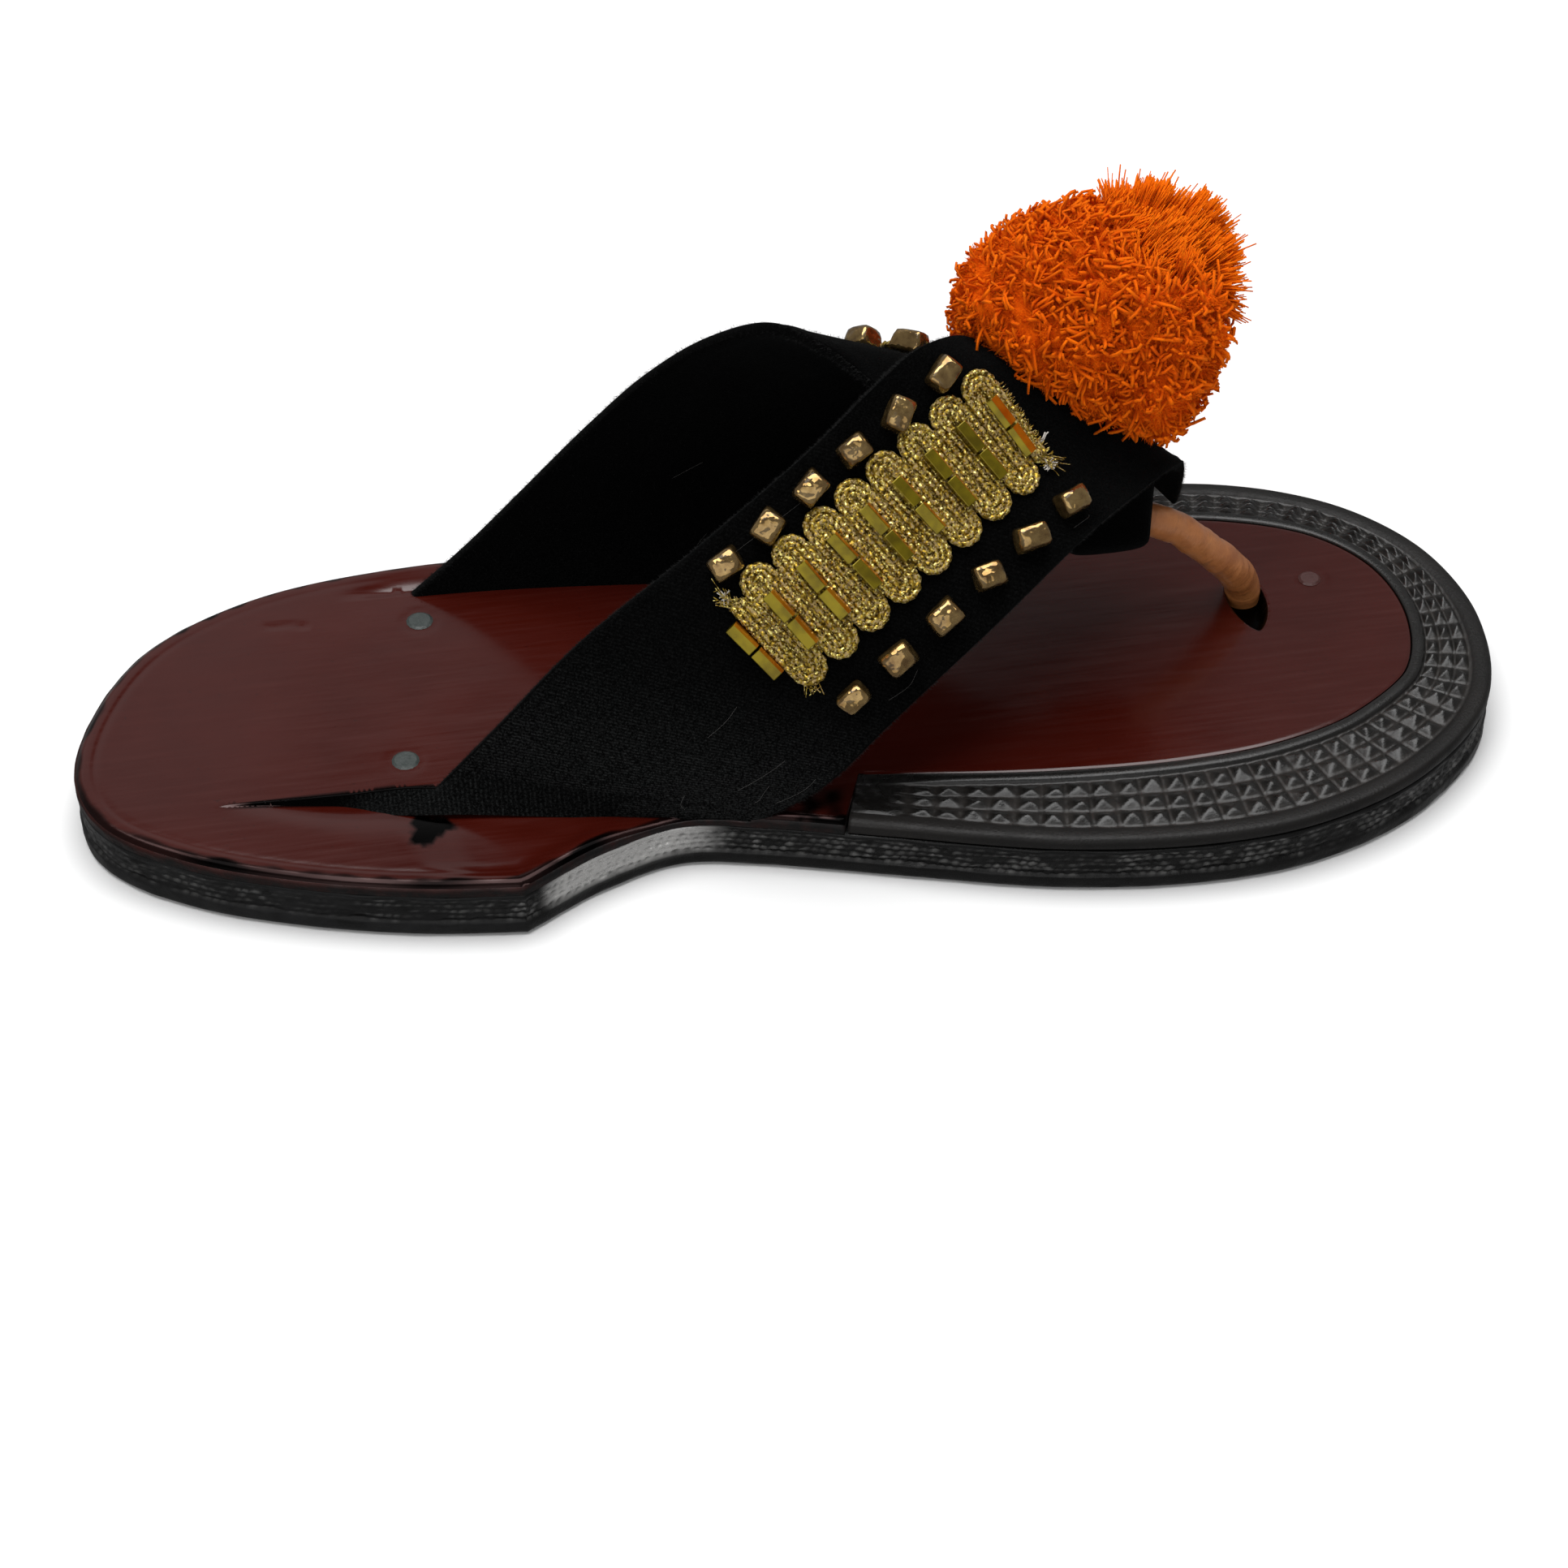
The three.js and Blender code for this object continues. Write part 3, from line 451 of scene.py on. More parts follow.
def yarn():
    """Orange cotton yarn with a tone for each strand; lighter towards its tips and on the lumps and darker at
    the roots and in the crevices, as painted shade.
    """
    dark, light = (0.56, 0.05, 0.001), (0.92, 0.178, 0.003)
    look = Look("orange_yarn", Roughness=0.95, Sheen_Weight=0.1, Sheen_Roughness=0.5, Specular_IOR_Level=0.05,
                Sheen_Tint=(1.0, 0.4, 0.05, 1))
    twist = look.noise(look.place(), 2.6, 3, 0.6)
    shade = look.plus(look.times(look.value("strand"), 0.45), look.times(look.value("tip"), 0.55))
    base = look.mix(shade, dark, light)
    look.feed("Base Color", look.mix(look.ramp(twist, 0.55, 0.8, 0.0, 0.35), base, dark))
    look.bump(twist, 0.6, 0.0003)
    return look.material


def gold_cord():
    """Metallic foil wound round cotton: flakes of gold, some dark, some sparkling, some bare cotton."""
    gold, pale_gold, dark_gold = (0.33, 0.2, 0.02), (0.42, 0.29, 0.035), (0.09, 0.055, 0.008)
    sparkle, bare_cotton = (1.0, 0.86, 0.28), (0.36, 0.255, 0.1)
    look = Look("gold_metallic_cord")
    place = look.place()
    flake = look.node("TexVoronoi", {"Vector": place, "Scale": 3.0, "Randomness": 1.0}).outputs["Color"]
    split = look.node("SeparateColor", {"Color": flake}).outputs
    cotton = look.ramp(split["Red"], 0.72, 0.78)
    shade = look.ramp(split["Red"], 0.2, 0.32)
    spark = look.ramp(split["Green"], 0.8, 0.86)
    foil = look.mix(look.ramp(look.noise(place, 0.2, 3, 0.5), 0.35, 0.65), gold, pale_gold)
    bright = look.mix(spark, look.mix(shade, dark_gold, foil), sparkle)
    look.feed("Base Color", look.mix(cotton, bright, bare_cotton))
    look.feed("Metallic", look.ramp(cotton, 0.0, 1.0, 0.85, 0.1))
    look.feed("Roughness", look.ramp(cotton, 0.0, 1.0, 0.33, 0.75))
    look.bump(split["Blue"], 1.0, 0.00024)
    winding = {"Vector": look.vector("cord"), "Scale": 0.32, "Distortion": 0.4}
    twist = look.node("TexWave", winding, wave_type="BANDS", bands_direction="DIAGONAL").outputs["Fac"]
    look.bump(twist, 0.5, 0.0002)
    return look.material


def bugle_glass(name, side_towards_pompom):
    """Olive glass; the side that faces up the leg, towards the orange pompom, is painted amber as a
    reflection of the pompom.
    """
    olive, pale_olive = (0.125, 0.09, 0.001), (0.22, 0.165, 0.003)
    amber, pale_amber = (0.44, 0.12, 0.004), (0.55, 0.22, 0.01)
    look = Look(name, Metallic=0.7, Roughness=0.22, Coat_Weight=0.12, Coat_Roughness=0.05)
    facing = look.node("NewGeometry").outputs["True Normal"]
    lit = look.node("VectorMath", {0: facing, 1: side_towards_pompom}, operation="DOT_PRODUCT").outputs["Value"]
    cloud = look.ramp(look.noise(look.place(), 0.3, 2, 0.5), 0.35, 0.65)
    glass, painted_pompom_reflection = look.mix(cloud, olive, pale_olive), look.mix(cloud, amber, pale_amber)
    # Painted reflection: faces turned up the leg take the pompom's amber
    look.feed("Base Color", look.mix(look.ramp(lit, 0.4, 0.55), glass, painted_pompom_reflection))
    return look.material


def nugget_gold():
    """Thin copper-gold coating over uneven beads."""
    copper, gold = (0.17, 0.095, 0.03), (0.42, 0.28, 0.105)
    look = Look("copper_gold_coating", Metallic=0.9, Coat_Weight=0.5, Coat_Roughness=0.06)
    place = look.place()
    look.feed("Base Color", look.mix(look.ramp(look.noise(place, 0.42, 4, 0.55), 0.32, 0.68), copper, gold))
    look.feed("Roughness", look.ramp(look.noise(place, 1.0, 3, 0.6), 0.3, 0.7, 0.07, 0.15))
    look.bump(look.noise(place, 0.36, 1.5, 0.5), 0.75, 0.0012)
    return look.material


def nail_metal(name, dark, light, metallic):
    look = Look(name, Metallic=metallic)
    place = look.place()
    cloud = look.noise(place, 0.7, 5, 0.7)
    look.feed("Base Color", look.mix(look.ramp(cloud, 0.3, 0.7), dark, light))
    look.feed("Roughness", look.ramp(cloud, 0.3, 0.7, 0.34, 0.6))
    look.bump(look.noise(place, 1.5, 3, 0.6), 0.4, 0.0002)
    return look.material


def fibre(name, dark, light):
    look = Look(name, Roughness=0.8, Specular_IOR_Level=0.2)
    look.feed("Base Color", look.mix(look.noise(look.place(), 0.4, 2, 0.5), dark, light))
    return look.material


SOLE = sole_leather()
LACQUER = lacquer()
EDGE_PAINT = dull_leather("edge_paint", (0.0035, 0.0032, 0.0032), (0.03, 0.0042, 0.0026), 0.2)
RIM_PAINT = dull_leather("rim_paint", (0.0048, 0.0045, 0.0042), (0.0105, 0.0092, 0.0084), 0.22)
TOOLED = tooled_leather()
VELVET = velvet()
TAN = tan_leather()
YARN = yarn()
GOLD = gold_cord()
NUGGET_COAT = nugget_gold()
IRON = nail_metal("grey_iron", (0.02, 0.027, 0.025), (0.038, 0.046, 0.043), 0.1)
PAINTED = nail_metal("painted_nail", (0.04, 0.008, 0.006), (0.055, 0.013, 0.01), 0.0)
PILE = fibre("velvet_pile", (0.002, 0.002, 0.002), (0.012, 0.012, 0.012))
LINT = fibre("pale_lint", (0.05, 0.048, 0.046), (0.12, 0.115, 0.11))
COTTON = fibre("white_cotton", (0.55, 0.5, 0.45), (0.8, 0.77, 0.72))


# Outsole: a stepped side with rows of pressed pits
FINE_STEPS = 6001
fine_line, fine_run = even(spline(OUTLINE, np.linspace(0, 1, FINE_STEPS)), FINE_STEPS)
SOLE_COLUMNS = 1300
# Height of each level and how far it lies inside the outline
SOLE_LOW = [(0, 1.0), (0.25, 0.5), (0.8, 0.12), (1.4, 0.02), (2.4, 0.0), (3.2, 0.04), (3.5, 0.2), (3.75, 0.5)]
SOLE_PRESSED = [(z, 0.56) for z in np.arange(4.0, 8.95, 0.34)]
SOLE_HIGH = [(9.1, 0.5), (9.3, 0.36), (9.55, 0.22), (9.9, 0.24), (10.15, 0.34), (OUTSOLE_TOP, 0.6),
             (OUTSOLE_TOP, 4.0)]
PIT_LENGTH, PIT_HEIGHT, PIT_LOW, PIT_DEEP = 2.0, 1.35, 4.0, 0.45
PIT_HALF_LENGTH, PIT_HALF_HEIGHT = 0.66, 0.46
# Where each part of the side fades in, by x, or by -x where it fades out towards the toe
NOTCH_BACK, NOTCH_FRONT, HEEL = (-66, -58), (-30, 5), (40, 70)
BURNISHED_BACK, BURNISHED_FRONT = (-58, -50), (18, 34)


def ring_of(count):
    """Points round the sole's outline, how far along each is, and the way inward there."""
    line, run = even(spline(OUTLINE, np.linspace(0, 1, FINE_STEPS)), count, closed=True)
    step = unit(np.roll(line, -1, axis=0) - np.roll(line, 1, axis=0))
    return line, run, np.stack([step[:, 1], -step[:, 0]], axis=1)


def pressed_pits(run, z):
    """Depth, 0 to 1, of the staggered pits that a wheel pressed round the sole, and their bright lips: the
    up-facing lower halves where glints are painted.
    """
    u = run + 0.45 * waves(run, z * 4, 5, 7)
    h = z + 0.16 * waves(run, z * 4, 6, 9)
    row = np.round((h - PIT_LOW) / PIT_HEIGHT)
    shift = 0.5 * (row % 2)
    column = np.round(u / PIT_LENGTH - shift)
    along, up = u - (column + shift) * PIT_LENGTH, h - PIT_LOW - row * PIT_HEIGHT
    pit = np.exp(-(along / PIT_HALF_LENGTH) ** 2 - (up / PIT_HALF_HEIGHT) ** 2)
    chance = np.abs(np.sin(row * 12.9898 + column * 78.233) * 437.585) % 1
    return pit, np.clip(-2.6 * up / PIT_HALF_HEIGHT * pit, 0, 1) * chance


def build_outsole():
    line, run, into = ring_of(SOLE_COLUMNS)
    x, near = line[:, 0], line[:, 1] < 0
    notch = smooth(x, *NOTCH_BACK) * smooth(-x, *NOTCH_FRONT) * near
    heel = smooth(-x, *HEEL)
    burnished = smooth(x, *BURNISHED_BACK) * smooth(-x, *BURNISHED_FRONT) * near
    rings, pit_shade, worn, gloss = [], [], [], []
    for z, inset in SOLE_LOW + SOLE_PRESSED + SOLE_HIGH:
        band = smooth(z, 3.3, 4.0) * (1 - smooth(z, 8.8, 9.4))
        patch = smooth(waves(run, z * 2, 8, 30), -0.75, -0.1)
        depth = band * np.clip(0.3 + patch + notch, 0, 1) * (1 - 0.5 * heel * (1 - notch))
        wobble = (0.14 * waves(run, z * 3, 3, 12) + 0.1 * waves(run, z * 5, 4, 5)) * smooth(z, 0.2, 1.5)
        pit, lip = pressed_pits(run, z)
        inward_by = np.clip(inset + wobble * (1 - smooth(z, 9.6, 10.2)) + PIT_DEEP * depth * pit, 0, None)
        rings.append(np.column_stack([line + into * inward_by[:, None], np.full(SOLE_COLUMNS, z)]))
        # Painted shade: each pit is coloured darker by its depth
        pit_shade.append(depth * pit)
        worn.append(np.clip(heel * (1 - notch) + 0.25, 0, 1) * (0.55 + 0.45 * (1 - band)))
        # The burnished waist is a near-white metal; the up-facing lips of some pits get that metal too, as
        # painted glints
        shine = burnished * smooth(z, 3.0, 5.0) * (1 - 0.8 * pit * depth)
        gloss.append(np.clip(shine + lip * depth * (0.16 + 0.6 * burnished), 0, 1))
    quads = grid_quads(len(rings), SOLE_COLUMNS, wrap=True)[:, ::-1]
    ends = [ring_face(len(rings) - 1, SOLE_COLUMNS)[::-1], ring_face(0, SOLE_COLUMNS)]
    data = {"pit_shade": np.concatenate(pit_shade), "worn": np.concatenate(worn), "gloss": np.concatenate(gloss)}
    piece("sole_layers", np.vstack(rings), quads, SOLE, "sole_black", ["outsole"], data=data, extra=ends)


# Tooled border: an outer rim, three rows of pyramids and an inner bead, at the CAD source's stations
half_way = np.argmax((fine_line[:, 0] > 0) & (fine_line[:, 1] > 0))
border_start = half_way + np.argmax(fine_line[half_way:, 0] >= BORDER_INNER_X)
past_start = np.arange(FINE_STEPS) > border_start
border_end = np.argmax(past_start & (fine_line[:, 1] < 0) & (fine_line[:, 0] <= BORDER_OUTER_X))
border_length = fine_run[border_end] - fine_run[border_start]
BORDER_COLUMNS = round(border_length / BORDER_PITCH)
STEPS_PER_CELL, STEPS_PER_ROW = 10, 9
# Depth from the outer edge and height, or from the bead's outer side
RIM_WALL = [(0.6, INSOLE_BOTTOM), (0.3, 10.85), (0.12, 11.2), (0.1, 11.9), (0.16, 12.5)]
RIM_TOP = [(0.35, 12.95), (0.65, 13.25), (1.1, 13.44), (1.7, 13.5), (2.3, 13.5), (2.9, 13.46),
           (RIM_WIDTH - RIM_SLOPE, 13.36)]
RIM_FOOT = (RIM_WIDTH - 0.55, 13.05)
BEAD = [(0.3, 13.15), (0.55, 13.48), (0.9, 13.66), (1.4, 13.74), (2.0, 13.73), (2.5, 13.66), (2.8, 13.52),
        (2.97, 13.3), (3.0, INSOLE_BOTTOM)]
BEAD_LEVEL, FIELD_LOW, FIELD_FLAT, PYRAMID_HEIGHT, ROW_SPACING = 13.48, 12.68, 13.35, 1.5, 4.6
# Insole's rounded edge: inset from the outline, width and drop
EDGE_INSET, EDGE_ROUND, EDGE_DROP = 0.55, 1.5, 0.9


def border_width(part):
    """Uniform Catmull-Rom curve through the table of widths."""
    first, last = 2 * BORDER_WIDTHS[0] - BORDER_WIDTHS[1], 2 * BORDER_WIDTHS[-1] - BORDER_WIDTHS[-2]
    w = np.array([first, *BORDER_WIDTHS, last])
    at = np.clip(part, 0, 1) * (len(BORDER_WIDTHS) - 1)
    i = np.minimum(at.astype(int), len(BORDER_WIDTHS) - 2)
    t = at - i
    a, b, c, d = w[i], w[i + 1], w[i + 2], w[i + 3]
    square, cube = 2 * a - 5 * b + 4 * c - d, 3 * b - a - 3 * c + d
    return 0.5 * (2 * b + (c - a) * t + square * t ** 2 + cube * t ** 3)


def border_stations(part):
    """Outer edge from the border's inner end (0) to its outer end (1): places, the way in, and the width."""
    at = fine_run[border_start] + np.asarray(part) * border_length
    place, ahead = (np.stack([np.interp(at + step, fine_run, fine_line[:, k]) for k in range(2)], axis=1)
                    for step in (0, 0.4))
    ahead = unit(ahead - place)
    return place, np.stack([ahead[:, 1], -ahead[:, 0]], axis=1), border_width(np.asarray(part))


def pyramid_lines(part, width):
    """Depth, height and hollowness of each line of points across the rows of pyramids."""
    jitter = np.random.default_rng(5).uniform(-1, 1, (BORDER_COLUMNS, BORDER_ROWS, 4))
    field = width - BEAD_WIDTH - RIM_WIDTH
    u = part * border_length
    ends = smooth(part, 0.0, 0.01) * (1 - smooth(part, 0.955, 0.985))
    lumpy = smooth(part, 0.8, 0.97)
    cell = np.minimum((part * BORDER_COLUMNS).astype(int), BORDER_COLUMNS - 1)
    a = 2 * (part * BORDER_COLUMNS - cell) - 1
    columns = len(part)
    for k in range(BORDER_ROWS * STEPS_PER_ROW + 1):
        across = k / STEPS_PER_ROW
        row = min(int(across), BORDER_ROWS - 1)
        b = 2 * (across - row) - 1
        v = np.full(columns, across * ROW_SPACING)
        tilt_a, tilt_b, grow, flat = (jitter[cell, row, m] for m in range(4))
        off_a, off_b = np.abs(a - 0.22 * tilt_a * (1 - a * a)), np.abs(b - 0.22 * tilt_b * (1 - b * b))
        reach = np.maximum(off_a, off_b)
        form = 1 - reach ** (1.15 + 0.2 * flat)
        form = form * (1 - 0.3 * lumpy) + lumpy * 0.16 * waves(u, v, 31, 3.0) * form
        punched = FIELD_LOW + (PYRAMID_HEIGHT + 0.2 * grow) * form + 0.06 * waves(u, v, 33, 4)
        plain = FIELD_FLAT + 0.12 * waves(u, v, 35, 5)
        yield (RIM_WIDTH + field * across / BORDER_ROWS, punched * ends + plain * (1 - ends),
               ends * smooth(reach, 0.45, 0.95))


def border_caps(first, last, columns):
    """Faces that close both ends of a band of lines."""
    start = [k * columns for k in range(first, last)]
    return [start, [k + columns - 1 for k in start][::-1]]


def build_border():
    columns = BORDER_COLUMNS * STEPS_PER_CELL + 1
    part = np.linspace(0, 1, columns)
    place, into, width = border_stations(part)
    soft = 0.1 * waves(part * border_length, 0 * part, 21, 18)
    lines = [(depth + 0.5 * soft * (z > 11), z, 0.0) for depth, z in RIM_WALL]
    lines += [(depth, z + 0.6 * soft, 0.0) for depth, z in RIM_TOP]
    lines.append((*RIM_FOOT, 0.4))
    rim_rows = len(lines)
    lines += pyramid_lines(part, width)
    level = 1 - smooth(part, 0.94, 0.985)
    for depth, z in BEAD:
        rise = z if z < 13 else BEAD_LEVEL + (z - BEAD_LEVEL) * level
        lines.append((width - BEAD_WIDTH + depth, rise + 0.3 * soft * (z > 13), 0.0))
    depth, z, pit = (np.array([np.broadcast_to(value, columns) for value in kind]) for kind in zip(*lines))
    # The outer end is pared down to the insole's rounded edge
    pared = smooth(part, 0.93, 1.0)
    depth = depth + pared * np.clip(EDGE_INSET - depth, 0, None)
    edge = INSOLE_TOP - 0.06 - EDGE_DROP * np.clip(1 - (depth - EDGE_INSET) / EDGE_ROUND, 0, 1) ** 2
    z = np.where(z > 11, z + pared * np.minimum(edge - z, 0), z)
    place[-1] += 0.32 * unit(place[-1] - place[-2])
    points = np.concatenate([place[None] + into[None] * depth[:, :, None], z[:, :, None]], axis=2)
    rows = len(lines)
    quads = grid_quads(rows, columns)[(rim_rows - 1) * (columns - 1):]
    piece("border_relief", points.reshape(-1, 3), quads, TOOLED, "border_black", ["tooled_border"],
          data={"low": pit.ravel()}, extra=border_caps(rim_rows - 1, rows, columns))
    rim = points[:rim_rows].reshape(-1, 3)
    # Black paint on the rim, uneven, and thinner towards the border's outer end
    paint = np.clip(0.7 + 0.3 * waves(rim[:, 0], rim[:, 1], 37, 22), 0, 1)
    paint *= np.tile(1 - smooth(part, 0.9, 0.985), rim_rows)
    piece("border_rim", rim, grid_quads(rim_rows, columns), RIM_PAINT, "border_black", data={"paint": paint},
          extra=border_caps(0, rim_rows, columns))


# Insole: a fine sheet over the sole with its groove, slits and rounded edge
OUTLINE_COUNT = 1100
BORDER_GAP, SHEET_PITCH, WALL_INSET = 0.25, 1.0, 0.12
EDGE_LINES = (0.3, 0.65, 1.05, 1.5, 2.0, 2.4, 2.7, 2.95, 3.2, 3.45, 3.7, 3.95, 4.25, 4.65, 5.1)
BORDER_LINES, SLIT_LINES, TOE_SLIT_LINES = (0.35, 0.75, 1.2), (-0.5, -0.03, 0.03, 0.6, 1.3), (0.0, 0.35, 0.8)
TOE_SLIT_WIDE, TOE_SLIT_TAPER, TOE_SLIT_DEEP = 3.9, 1.5, 2.7
SLIT_LINE = np.array([(-118.5, -13.5), (-105, -14.1), (-92, -14.6), (-77, -15.1), (-60, -20.6), (-44, -25.6),
                      (-28, -30.6), (-15, -33.6)])
FAR_SLIT = np.array([(-90, 45.6), (-76, 46), (-40, 43.2), (-3, 37)])
SCRATCH = np.array([(-104, 39.4), (-96, 38.2)])
STAIN = np.array([(-78.3, -23.6), (-74.2, -24.6), (-76.6, -26), (-78.6, -28.6)])
SLIT_DENSE, SLIT_STEPS, INNER_EDGE_STEPS = 800, 300, 420
GROOVE_IN, GROOVE_HALF, GROOVE_DEEP, GROOVE_RIM = 3.6, 0.75, 0.13, 0.1
CREASE_DROP, FAR_FLAP_DROP, SCRATCH_DEEP, NAIL_DENT = 1.3, 1.4, 0.25, 0.06
outline, _, inward = ring_of(OUTLINE_COUNT)
slit_cut = even(spline(SLIT_LINE, np.linspace(0, 1, SLIT_DENSE)), SLIT_STEPS)[0]
open_to = np.argmin(np.hypot(*(outline - fine_line[border_start]).T)) - 1
open_from = np.argmin(np.hypot(*(outline - fine_line[border_end]).T)) + 2
border_place, border_into, border_across = border_stations(np.linspace(0, 1, INNER_EDGE_STEPS))
inner_edge = border_place + border_into * (border_across + BORDER_GAP)[:, None]


def insole_ring(inset):
    """The insole's edge: the sole's outline, the border's inner side, and the outline again."""
    moved = outline + inward * inset
    return np.vstack([moved[:open_to], inner_edge, moved[open_from:]])


def slit_y(x):
    return np.interp(x, slit_cut[:, 0], slit_cut[:, 1])


def flap_drop(x, off):
    """How far the insole outside the outer slit's knife cut lies below its inner edge."""
    sink = 2.5 * smooth(x, -118.5, -84) * (1 - 0.6 * smooth(x, -50, -18)) * (x < -14.6)
    reach = 2.0 + 3.6 * smooth(x, -118, -84)
    return np.where(off > 0, sink * np.exp(-(np.maximum(off, 0) / reach) ** 1.6), 0)


def within(points, ring):
    """Which points lie inside a closed ring."""
    inside = np.zeros(len(points), bool)
    x, y = points.T
    for (px, py), (qx, qy) in zip(ring, np.roll(ring, -1, axis=0)):
        crosses = (py > y) != (qy > y)
        if crosses.any():
            inside ^= crosses & (x < (qx - px) * (y - py) / (qy - py + 1e-12) + px)
    return inside


def insole_sheet(ring, open_edge):
    """Flat points and triangles of the insole, closer together along its edges and slits."""
    gx, gy = np.meshgrid(np.arange(-146, 146, SHEET_PITCH), np.arange(-56, 56, SHEET_PITCH))
    gx = gx + 0.5 * SHEET_PITCH * (np.arange(gx.shape[0]) % 2)[:, None]
    field = np.column_stack([gx.ravel(), gy.ravel()])
    clear = (line_distance(*field.T, open_edge) > 5.0) & (line_distance(*field.T, inner_edge[::3]) > 1.5)
    lines = [outline + inward * (EDGE_INSET + depth) for depth in EDGE_LINES]
    lines += [inner_edge + border_into * depth for depth in BORDER_LINES]
    ahead = np.gradient(slit_cut, axis=0)
    normal = unit(np.stack([ahead[:, 1], -ahead[:, 0]], axis=1))
    lines += [slit_cut + normal * shift for shift in SLIT_LINES]
    turn = np.linspace(0, 2 * math.pi, 120, endpoint=False)
    wide = np.sign(np.cos(turn)) * np.abs(np.cos(turn)) ** TOE_SLIT_TAPER
    for grow in TOE_SLIT_LINES:
        lines.append(np.column_stack([TOE_SLIT_X + wide * (TOE_SLIT_WIDE + grow),
                                      TOE_SLIT_Y + (TOE_SLIT_HALF + grow) * np.sin(turn)]))
    every = np.vstack([field[clear], *lines])
    near = line_distance(*every.T, np.vstack([ring[::3], ring[:1]]))
    every = np.unique(every[within(every, ring) & (near > 0.22)].round(3), axis=0)
    flat = [Vector(p) for p in np.vstack([ring, every])]
    result = delaunay_2d_cdt(flat, [], [list(range(len(ring)))[::-1]], 1, 1e-5)
    return np.array([(v.x, v.y) for v in result[0]]), np.array([f for f in result[2] if len(f) == 3])


def insole_height(x, y, to_edge, off, lens):
    """Height of the insole's top at each place."""
    z = INSOLE_TOP + 0.07 * waves(x, y, 41, 60) + 0.006 * waves(x, y, 43, 12)
    z -= EDGE_DROP * np.clip(1 - to_edge / EDGE_ROUND, 0, 1) ** 2
    groove_run = smooth(-x, 56, 66) * (1 - 0.75 * smooth(y, 26, 44))
    z -= GROOVE_DEEP * groove_run * bell(to_edge - GROOVE_IN, GROOVE_HALF)
    z -= GROOVE_RIM * groove_run * (1 - smooth(to_edge, 1.0, 3.8))
    z -= 0.25 * np.clip(1 - line_distance(x, y, inner_edge[::3]) / 0.6, 0, 1) ** 2
    # Outer slit: the flap lies lower than the inner edge and bends down past a slanting crease
    z -= flap_drop(x, off)
    past = x - np.interp(-y, [20, 38.6], [-86, -80])
    crease = smooth(past, -0.6, 13) * smooth(off, 1.0, 7.0)
    crease = crease * (1 - smooth(x, -52, -36)) * smooth(to_edge, 1.5, 7)
    z -= CREASE_DROP * crease
    far_off = y - np.interp(x, *FAR_SLIT.T)
    on_far = smooth(x, -90, -70) * (1 - smooth(x, -12, -3))
    z -= np.where(far_off > 0, FAR_FLAP_DROP * on_far * np.exp(-far_off / 2.5), 0)
    z -= TOE_SLIT_DEEP * (1 - smooth(lens, 0.82, 1.02))
    z -= SCRATCH_DEEP * bell(line_distance(x, y, SCRATCH), 0.45)
    for nail_x, nail_y in NAILS:
        z -= NAIL_DENT * bell(np.hypot(x - nail_x, y - nail_y) - 3.2, 0.8)
    return z


def insole_stain_and_shade(x, y, to_edge, off, lens):
    """Where black shows: stains, painted shade with some black dye on the outer slit's cut, painted shade in
    the toe slit, a patch by the border's end, and paint crept over the edge.
    """
    blob = 1 - smooth(line_distance(x, y, STAIN) + 0.4 * waves(x, y, 51, 4), 2.1, 2.7)
    # Painted shade, with some black dye, on the wall of the outer slit's knife cut
    cut_shade_and_dye = (off > -0.6) * (1 - smooth(off, 0.3, 1.2)) * smooth(x, -118, -110) * (x < -14)
    stain_and_shade = np.clip(np.maximum(blob, cut_shade_and_dye), 0, 1)
    patch = smooth(x, -12, -6) * (1 - smooth(x, 1, 7)) * (y < -20) * (1 - smooth(y, -30, -27.6))
    patch = patch * (0.55 + 0.35 * waves(x, y, 57, 5))
    reach = 1.5 + 0.8 * smooth(-y, 0, 22) + 0.6 * waves(x, y, 59, 9)
    creep = smooth(reach - to_edge, 0, 1.0) * (0.7 + 0.3 * smooth(waves(x, y, 60, 26), -0.4, 0.5))
    # The toe slit's hollow is painted black as shade
    return np.maximum.reduce([stain_and_shade, patch, 1 - smooth(lens, 0.98, 1.1), creep])


